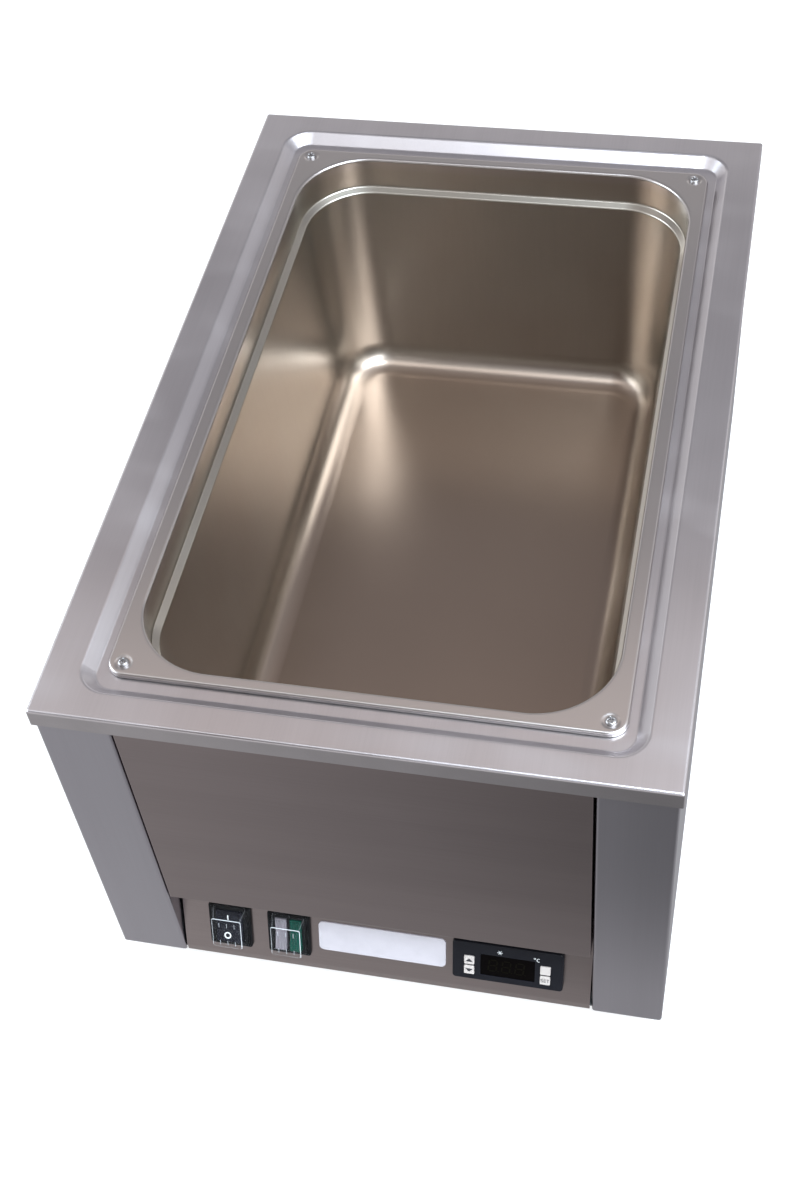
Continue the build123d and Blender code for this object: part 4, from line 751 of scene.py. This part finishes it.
def build_screw_tree():
    """One screw set on every point, aimed along the point's own direction, each turned at random."""
    tree, source, result = new_geometry_tree("Set Screws", [
        ("Screw", "Object", None), ("Seed", "Int", 3), ("Material", "Material", None),
    ])
    screw = add(tree, "GeometryNodeObjectInfo", Object=source.outputs["Screw"])
    aim = add(tree, "GeometryNodeInputNamedAttribute", {"data_type": "FLOAT_VECTOR"}, Name="aim")
    aligned = add(tree, "FunctionNodeAlignRotationToVector", {"axis": "Z"}, Vector=aim.outputs["Attribute"])
    spin = add(tree, "FunctionNodeRandomValue", {"data_type": "FLOAT"}, Seed=source.outputs["Seed"])
    for socket in spin.inputs:
        if socket.type == "VALUE" and socket.name in ("Min", "Max"):
            socket.default_value = 0.0 if socket.name == "Min" else 2 * pi
    turn = add(tree, "ShaderNodeCombineXYZ", Z=next(o for o in spin.outputs if o.type == "VALUE"))
    spun = add(tree, "FunctionNodeRotateRotation", {"rotation_space": "LOCAL"})
    join(tree, aligned.outputs[0], spun.inputs[0])
    join(tree, turn.outputs[0], spun.inputs[1])
    placed = add(
        tree, "GeometryNodeInstanceOnPoints", Points=source.outputs["Geometry"],
        Instance=screw.outputs["Geometry"], Rotation=spun.outputs[0],
    )
    end_tree(tree, placed.outputs[0], source.outputs["Material"], result)
    return tree


def build_rib_tree():
    """Straight half-round ribs side by side, as on a moulded lens."""
    tree, source, result = new_geometry_tree("Lens Ribs", [
        ("Count", "Int", 8), ("Pitch", "Float", 0.001), ("Length", "Float", 0.011),
        ("Radius", "Float", 0.0003), ("Material", "Material", None),
    ])
    offset = add(tree, "ShaderNodeCombineXYZ", X=source.outputs["Pitch"])
    row = add(
        tree, "GeometryNodeMeshLine", {"mode": "OFFSET"}, Count=source.outputs["Count"], Offset=offset.outputs[0]
    )
    rib = add(
        tree, "GeometryNodeMeshCylinder", {"fill_type": "NGON"}, Vertices=12,
        Radius=source.outputs["Radius"], Depth=source.outputs["Length"],
    )
    laid = add(tree, "ShaderNodeCombineXYZ", X=pi / 2)
    turned = add(tree, "GeometryNodeTransform", Geometry=rib.outputs["Mesh"], Rotation=laid.outputs[0])
    placed = add(tree, "GeometryNodeInstanceOnPoints", Points=row.outputs[0], Instance=turned.outputs[0])
    end_tree(tree, placed.outputs[0], source.outputs["Material"], result)
    return tree


screw_tree = build_screw_tree()
rib_tree = build_rib_tree()


def build_shell_tree():
    """A skin drawn through a column of rounded rectangles, each row given by one starting point.

    A point's place holds the row's half width, half length and level, and its corner attribute the radius.
    """
    tree, source, result = new_geometry_tree("Drawn Shell", [
        ("Corner Steps", "Int", 48), ("Dimple X", "Float", 0.15),
        ("Dimple Y", "Float", 0.25), ("Dimple Radius", "Float", 0.0056),
        ("Dimple Depth", "Float", 0.0005), ("Material", "Material", None),
    ])
    steps = source.outputs["Corner Steps"]
    per_corner = plus(tree, steps, 1.0)
    counted = add(tree, "GeometryNodeAttributeDomainSize", Geometry=source.outputs["Geometry"])
    rows = counted.outputs["Point Count"]
    columns = plus(tree, times(tree, per_corner, 4.0), 1.0)
    grid = add(tree, "GeometryNodeMeshGrid", Vertices_X=columns, Vertices_Y=rows)
    index = tree.nodes.new("GeometryNodeInputIndex").outputs[0]
    column = maths(tree, "FLOOR", maths(tree, "DIVIDE", plus(tree, index, 0.5), rows))
    row = minus(tree, index, times(tree, column, rows))

    def of_row(kind, value):
        """A value of the starting point that belongs to this row."""
        sampled = tree.nodes.new("GeometryNodeSampleIndex")
        sampled.data_type = kind
        join(tree, source.outputs["Geometry"], sampled.inputs["Geometry"])
        join(tree, value, next(s for s in sampled.inputs if s.name == "Value" and s.enabled))
        join(tree, row, sampled.inputs["Index"])
        return next(s for s in sampled.outputs if s.enabled)

    position = tree.nodes.new("GeometryNodeInputPosition").outputs[0]
    section = add(tree, "ShaderNodeSeparateXYZ", Vector=of_row("FLOAT_VECTOR", position))
    corner = add(tree, "GeometryNodeInputNamedAttribute", {"data_type": "FLOAT"}, Name="corner")
    radius = of_row("FLOAT", corner.outputs["Attribute"])
    quarter = maths(tree, "FLOOR", maths(tree, "DIVIDE", plus(tree, column, 0.5), per_corner))
    step = minus(tree, column, times(tree, quarter, per_corner))
    angle = times(tree, plus(tree, quarter, maths(tree, "DIVIDE", step, steps)), pi / 2)
    diagonal = times(tree, plus(tree, quarter, 0.5), pi / 2)

    def along(function, half):
        """The place along one axis: the corner's centre and its arc."""
        side = maths(tree, "SIGN", maths(tree, function, diagonal))
        centre = times(tree, side, minus(tree, half, radius))
        return plus(tree, centre, times(tree, radius, maths(tree, function, angle)))

    x, y = along("COSINE", section.outputs["X"]), along("SINE", section.outputs["Y"])
    off_x = minus(tree, maths(tree, "ABSOLUTE", x), source.outputs["Dimple X"])
    off_y = minus(tree, maths(tree, "ABSOLUTE", y), source.outputs["Dimple Y"])
    square_x, square_y = times(tree, off_x, off_x), times(tree, off_y, off_y)
    far = maths(tree, "SQRT", plus(tree, square_x, square_y))
    sunk = add(
        tree, "ShaderNodeMapRange", {"interpolation_type": "SMOOTHSTEP"}, Value=far,
        From_Min=times(tree, source.outputs["Dimple Radius"], 0.82),
        From_Max=times(tree, source.outputs["Dimple Radius"], 1.06),
        To_Min=source.outputs["Dimple Depth"], To_Max=0.0,
    )
    level = minus(tree, section.outputs["Z"], sunk.outputs[0])
    place = add(tree, "ShaderNodeCombineXYZ", X=x, Y=y, Z=level)
    moved = add(tree, "GeometryNodeSetPosition", Geometry=grid.outputs["Mesh"], Position=place.outputs[0])
    closed = add(tree, "GeometryNodeMergeByDistance", Geometry=moved.outputs[0], Distance=1e-6)
    end_tree(tree, closed.outputs[0], source.outputs["Material"], result)
    return tree


shell_tree = build_shell_tree()


def rounded_line(points, radii, steps):
    """The points of a line whose inner corners are rounded, each bend held by a close point to each side."""
    hold = 0.35
    line = [Vector(points[0])]
    for before, corner, after, radius in zip(points, points[1:], points[2:], radii):
        before, corner, after = Vector(before), Vector(corner), Vector(after)
        come, leave = (corner - before).normalized(), (after - corner).normalized()
        bend = come.angle(leave)
        cut = radius * tan(bend / 2)
        start, end = corner - cut * come, corner + cut * leave
        aside = (leave - come.dot(leave) * come).normalized()
        line.append(start - hold * come)
        for step in range(steps + 1):
            turn = bend * step / steps
            line.append(start + radius * (sin(turn) * come + (1 - cos(turn)) * aside))
        line.append(end + hold * leave)
    return line + [Vector(points[-1])]


def even_rows(first, last, count):
    """Rows between two others, evenly spaced, without the two ends."""
    return [
        tuple(a + (b - a) * step / (count + 1) for a, b in zip(first, last)) for step in range(1, count + 1)
    ]


def pan_rows():
    """The pan's section in millimetres, from its inner floor round the flange to its outer floor."""
    half_width, half_length, mouth_corner = 152.0, 256.0, 53.0
    flange_half = (162.5, 265.0, 12.0)
    top, lip_low, floor_level, sheet = 306.5, 303.1, 107.5, 1.0
    waist, waist_level, ledge_level, floor_inset = 5.0, 277.5, 280.5, 18.5
    flange_rows = 34

    def corner_at(inset):
        """The inner corner radius where the wall has come in this far."""
        if inset <= waist:
            return mouth_corner - inset
        if inset <= floor_inset:
            return 48.0 - (inset - waist) * 8.0 / (floor_inset - waist)
        return 40.0 - (inset - floor_inset)

    def row(inset, level, skin):
        return (half_width - inset, half_length - inset, max(0.0, corner_at(inset + skin) + skin), level)

    def wall(skin):
        """The well's side from the floor up to the flat of the flange."""
        points = [
            (60.0, floor_level - skin), (floor_inset - skin, floor_level - skin), (waist - skin, waist_level - skin),
            (-skin, ledge_level - skin), (-skin, top - skin), (-5.0, top - skin),
        ]
        line = rounded_line(points, (22.0 + skin, 1.8, 1.8, 2.2 - skin), 10)
        return [row(inset, level, skin) for inset, level in line[1:-2]]

    def edge(skin):
        """The turned-down lip of the flange."""
        out, radius = flange_half[0] - skin, 2.0 - skin
        points = [(out - 4.0, top - skin), (out, top - skin), (out, lip_low)]
        half_x, half_y, corner = flange_half
        line = rounded_line(points, (radius,), 6)[1:]
        return [(x, x + half_y - half_x, x - half_x + corner, level) for x, level in line]

    inner, outer = wall(0.0), wall(sheet)
    lip, lip_back = edge(0.0), edge(sheet)[::-1]
    middle = half_length - half_width
    rows = [(0.0, middle, 0.0, floor_level)] + inner
    rows += even_rows(inner[-1], lip[0], flange_rows) + lip + lip_back
    rows += even_rows(lip_back[-1], outer[-1], flange_rows) + outer[::-1]
    return rows + [(0.0, middle, 0.0, floor_level - sheet)]


def build_pan_shell():
    """The drawn pan, in place of the plain one."""
    rows = pan_rows()
    start = starting_mesh("pan_rows", [(MM * x, MM * y, MM * level) for x, y, corner, level in rows])
    corners = start.attributes.new("corner", "FLOAT", "POINT")
    for entry, (x, y, corner, level) in zip(corners.data, rows):
        entry.value = MM * corner
    mesh = grow(
        shell_tree, start, Corner_Steps=48, Dimple_X=152.0 * MM, Dimple_Y=255.5 * MM,
        Dimple_Radius=5.6 * MM, Dimple_Depth=0.5 * MM, Material=pan_steel,
    )
    shape = bmesh.new()
    shape.from_mesh(mesh)
    bmesh.ops.dissolve_degenerate(shape, edges=shape.edges, dist=1e-6)
    bmesh.ops.recalc_face_normals(shape, faces=shape.faces)
    smooth_faces(shape)
    end_shape(shape, mesh)
    mesh.set_sharp_from_angle(angle=radians(40))
    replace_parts(finish_piece("pan_shell", mesh, None, "casing"), "pan")


build_pan_shell()


def screw_form(head_radius, head_height, shank_radius, length):
    """A pan-head screw: a domed head with a cross recess, and a shank with a few thread turns."""
    steps, rounds = 56, 16
    arm_width, arm_length, arm_slope, arm_depth = 0.17 * head_radius, 0.62 * head_radius, 3.2, 0.6
    thread_pitch, thread_root, tip = 0.7 * MM, 0.86, 0.4

    def head_level(x, y, radius):
        """The height of the head at a place: its dome, less the cross."""
        dome = head_height * (1 - min(1.0, radius / head_radius) ** 4) ** 0.5
        arm = max(0.0, 1 - min(abs(x), abs(y)) / arm_width) * max(0.0, 1 - radius / arm_length)
        return dome - min(1.0, arm_slope * arm) * arm_depth * head_height

    rows = []
    for step in range(rounds + 1):
        radius = head_radius * (step / rounds) ** 0.8
        rows.append([(x, y, head_level(x, y, radius)) for x, y in circle(radius, steps)])
    sections = [(shank_radius, 0.0)]
    turns = max(3, round(length / thread_pitch))
    for step in range(1, 2 * turns):
        sections.append((shank_radius * (1.0 if step % 2 else thread_root), -length * step / (2 * turns)))
    sections.append((tip * shank_radius, -length))
    rows += [[(x, y, level) for x, y in circle(radius, steps)] for radius, level in sections]
    shape = bmesh.new()
    made = [[shape.verts.new(point) for point in row] for row in rows]
    for first, second in zip(made, made[1:]):
        wrap(shape, first, second)
    shape.faces.new(made[-1])
    close_shape(shape)
    smooth_faces(shape)
    mesh = end_shape(shape, bpy.data.meshes.new("screw"))
    mesh.set_sharp_from_angle(angle=radians(38))
    return mesh


def set_screws(name, node, places, seed, head_radius, head_height, shank_radius, length):
    """Screws on a list of places and directions, in place of a node's plain ones."""
    master = new_object("one_screw", screw_form(head_radius, head_height, shank_radius, length))
    start = starting_mesh("screw_places", [MM * Vector(place) for place, direction in places])
    aims = start.attributes.new("aim", "FLOAT_VECTOR", "POINT")
    for entry, (place, direction) in zip(aims.data, places):
        entry.vector = direction
    mesh = grow(screw_tree, start, Screw=master, Seed=seed, Material=screw_steel)
    bpy.data.objects.remove(master)
    made = finish_piece(name, mesh, None, "casing")
    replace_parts(made, node)


up, down, back = (0, 0, 1), (0, 0, -1), (0, 1, 0)
pan_screw_places = [((x, y, 306.0), up) for x in (-152.0, 152.0) for y in (-255.5, 255.5)]
case_screw_places = [((x, 301.0, z), back) for x in (-191.0, 191.0) for z in (60.0, 160.0, 260.0)]
case_screw_places += [((x, y, 16.0), down) for x in (-100.0, 100.0) for y in (-290.2, 290.2)]
case_screw_places += [((55.0, y, 26.7), up) for y in (46.2, 93.8)]
case_screw_places += [((x, 182.0, 20.2), up) for x in (-121.0, -99.0)]
case_screw_places += [((x, 190.0, 22.7), up) for x in (84.0, 136.0)]
inlet_screw_places = [((x, 302.2, 58.0), back) for x in (110.0, 150.0)]
set_screws("pan_corner_screws", "pan_screws", pan_screw_places, 5, 3.8 * MM, 2.2 * MM, 1.95 * MM, 10 * MM)
set_screws("casing_screws", "case_screws", case_screw_places, 8, 3.2 * MM, 1.8 * MM, 1.45 * MM, 8 * MM)
set_screws("socket_screws", "inlet_screws", inlet_screw_places, 2, 2.56 * MM, 0.7 * MM, 1.4 * MM, 7 * MM)


# Moulded ribs of the two lenses, and the stiffening ribs inside the clear hoods

def strip_matrix(origin, across, along):
    """The matrix that lays a form on a plane, given by a point and two directions in it."""
    across, along = Vector(across).normalized(), Vector(along).normalized()
    return Matrix.Translation(origin) @ Matrix((across, along, across.cross(along))).transposed().to_4x4()


def lay_ribs(name, laps, radius, count, pitch, length, material, body):
    """Ribs laid on one or more faces, joined into one piece."""
    shape = bmesh.new()
    for origin, along in laps:
        mesh = grow(
            rib_tree, starting_mesh("ribs", []),
            Count=count, Pitch=pitch, Length=length, Radius=radius, Material=material,
        )
        mesh.transform(Matrix.Translation((-(count - 1) * pitch / 2, 0, 0)))
        mesh.transform(strip_matrix(origin, (1, 0, 0), along))
        shape.from_mesh(mesh)
    return finish_piece(name, end_shape(shape, bpy.data.meshes.new(name)), material, body)


raised_along = (strip_up - rocker_rise * strip_out).normalized()
for name, side, material, slot, body in (
    ("clear_lens_ribs", -1, lens_white, "clear_rocker", "clear_rocker_body"),
    ("green_lens_ribs", 1, lens_green, "green_rocker", "green_rocker_body"),
):
    centre_x = twin_switch_x + side * lens_offset
    upper = (on_strip(centre_x, 7.2, rocker_flat_level), strip_up)
    lower = (on_strip(centre_x, -6.0, raised_level(-6.0)), raised_along)
    lay_ribs(name, (lower, upper), 0.62 * MM, 4, 2.3 * MM, 10.6 * MM, material, body)

# The hood ribs take the grey of a painted glint
hood_inner_level = 11.0
for name, x in (("main_hood_ribs", main_switch_x), ("twin_hood_ribs", twin_switch_x)):
    laps = [(on_strip(x, y, hood_inner_level), strip_up) for y in (7.0, -9.4)]
    lay_ribs(name, laps, 0.16 * MM, 3, 5.6 * MM, 4.0 * MM, hood_rib_glint, "casing")


# Studio

def build_world():
    """White where it is seen or mirrored, and a plain level of light for everything else."""
    world = bpy.data.worlds.new("Studio")
    world.use_nodes = True
    scene.world = world
    tree = world.node_tree
    tree.nodes.clear()
    path = tree.nodes.new("ShaderNodeLightPath")
    seen = maths(tree, "MAXIMUM", path.outputs["Is Camera Ray"], path.outputs["Is Glossy Ray"])
    seen = maths(tree, "MAXIMUM", seen, path.outputs["Is Transmission Ray"])
    white = add(tree, "ShaderNodeBackground", Color=(1.0, 1.0, 1.0, 1.0), Strength=1.0)
    level = add(tree, "ShaderNodeBackground", Color=(0.97, 0.98, 1.0, 1.0), Strength=0.72)
    both = mixed_shaders(tree, seen, level.outputs[0], white.outputs[0])
    join(tree, both, tree.nodes.new("ShaderNodeOutputWorld").inputs["Surface"])


def stage_material(name):
    """A bare material for the studio, with its tree and the socket of its surface."""
    material = bpy.data.materials.new(name)
    material.use_nodes = True
    tree = material.node_tree
    tree.nodes.clear()
    return material, tree, tree.nodes.new("ShaderNodeOutputMaterial").inputs["Surface"]


def build_floor():
    """A plain pale floor that shows white and keeps the object's shadow; what metal mirrors of it is painted shade,
    dim near the object and brighter further off.
    """
    size = 12.0
    glow_share, glow_level, paint_level = 0.52, 1.36, 0.82
    white = (1.0, 1.0, 1.0, 1.0)
    mesh = bpy.data.meshes.new("floor")
    mesh.from_pydata([(-size, -size, 0), (size, -size, 0), (size, size, 0), (-size, size, 0)], [], [(0, 1, 2, 3)])
    floor = new_object("floor", mesh)
    material, tree, surface = stage_material("Pale Floor")
    path = tree.nodes.new("ShaderNodeLightPath")
    seen = maths(tree, "MAXIMUM", path.outputs["Is Camera Ray"], path.outputs["Is Transmission Ray"])
    spot = object_place(tree)
    away = add(tree, "ShaderNodeVectorMath", {"operation": "LENGTH"}, Vector=spot)
    across = add(tree, "ShaderNodeSeparateXYZ", Vector=spot)
    # Painted shade in the mirrored glow: dimmer to the right, a small step along the object's front edge, and
    # brighter with distance
    close = times(
        tree, spread(tree, across.outputs["X"], -0.2, 0.2, 0.4, 1.7),
        spread(tree, across.outputs["Y"], -0.42, -0.33, -0.04, 0.10),
    )
    mirrored_painted_shade = plus(tree, spread(tree, across.outputs["X"], -0.22, 0.2, 0.50, 0.25), close)
    far = plus(tree, mirrored_painted_shade, spread(tree, away.outputs["Value"], 0.6, 2.6, 0.0, 0.6))
    paint = add(tree, "ShaderNodeBsdfDiffuse", Color=shade((paint_level,) * 3, 1.0))
    glow = add(tree, "ShaderNodeEmission", Color=white, Strength=glow_level)
    mirrored = add(tree, "ShaderNodeEmission", Color=white, Strength=far)
    lit = mixed_shaders(tree, times(tree, seen, glow_share), paint.outputs[0], glow.outputs[0])
    join(tree, mixed_shaders(tree, path.outputs["Is Glossy Ray"], lit, mirrored.outputs[0]), surface)
    mesh.materials.append(material)


def soft_box(name, place, target, width, length, colour, radiance):
    """A soft area lamp that faces a point."""
    lamp = bpy.data.lights.new(name, "AREA")
    lamp.shape = "RECTANGLE"
    lamp.size = width
    lamp.size_y = length
    lamp.color = colour
    lamp.energy = radiance * pi * width * length
    holder = new_object(name, lamp)
    holder.location = place
    holder.rotation_euler = (Vector(target) - Vector(place)).to_track_quat("-Z", "Y").to_euler()


def board(name, corners, colour, level):
    """A flat board that only mirrored surfaces see."""
    mesh = bpy.data.meshes.new(name)
    mesh.from_pydata(corners, [], [(0, 1, 2, 3)])
    holder = new_object(name, mesh)
    material, tree, surface = stage_material(name + "_cloth")
    cloth = add(tree, "ShaderNodeEmission", Color=colour + (1.0,), Strength=level)
    join(tree, cloth.outputs[0], surface)
    mesh.materials.append(material)
    for ray in ("camera", "diffuse", "shadow", "transmission"):
        setattr(holder, "visible_" + ray, False)


def over(low, high, level):
    """The corners of a level board between two places."""
    (low_x, low_y), (high_x, high_y) = low, high
    return [(low_x, low_y, level), (high_x, low_y, level), (high_x, high_y, level), (low_x, high_y, level)]


def build_camera():
    """The camera at the photograph's angle."""
    forward = Vector((-0.1831, 0.6054, -0.7745)).normalized()
    up = Vector((-0.1078, 0.7707, 0.628))
    right = forward.cross(up).normalized()
    up = right.cross(forward)
    data = bpy.data.cameras.new("camera")
    data.lens = 52.38
    data.sensor_width = 36.0
    data.clip_start = 0.05
    data.clip_end = 60.0
    holder = new_object("camera", data)
    turn = Matrix((right, up, -forward)).transposed().to_4x4()
    holder.matrix_world = Matrix.Translation((0.2112, -0.8495, 1.1596)) @ turn
    scene.camera = holder


scene.view_settings.view_transform = "Standard"
build_world()
build_floor()
cool_grey, warm_grey = (0.95, 0.95, 1.0), (1.0, 0.66, 0.50)
warm_white, daylight = (1.0, 0.90, 0.85), (0.78, 0.91, 1.0)
lamp_target = (0.0, 0.1, 0.2)
board("board_rear", [(-0.9, 0.22, 1.0), (0.85, 0.44, 1.0), (0.85, 1.35, 1.0), (-0.9, 1.35, 1.0)], cool_grey, 0.38)
board("board_front", over((-1.6, -4.2), (0.75, -0.66), 1.6), warm_grey, 0.13)
board("board_top", over((-0.6, -0.30), (0.95, 0.30), 1.85), warm_grey, 0.13)
board("board_side", [(1.0, 0.88, 0.2), (1.0, 1.75, 0.2), (1.0, 1.75, 1.7), (1.0, 0.88, 1.7)], cool_grey, 0.55)
board("board_high", over((-1.4, 0.30), (1.2, 2.9), 1.95), warm_white, 0.88)
board("board_glow", over((-0.75, -0.64), (0.15, -0.28), 1.6), (1.0, 1.0, 1.0), 2.0)
soft_box("left_side", (-1.655, -0.314, 1.06), lamp_target, 1.43, 0.94, daylight, 6.4)
soft_box("right_front", (0.85, -0.625, 1.76), lamp_target, 1.58, 1.42, daylight, 14.5)
build_camera()
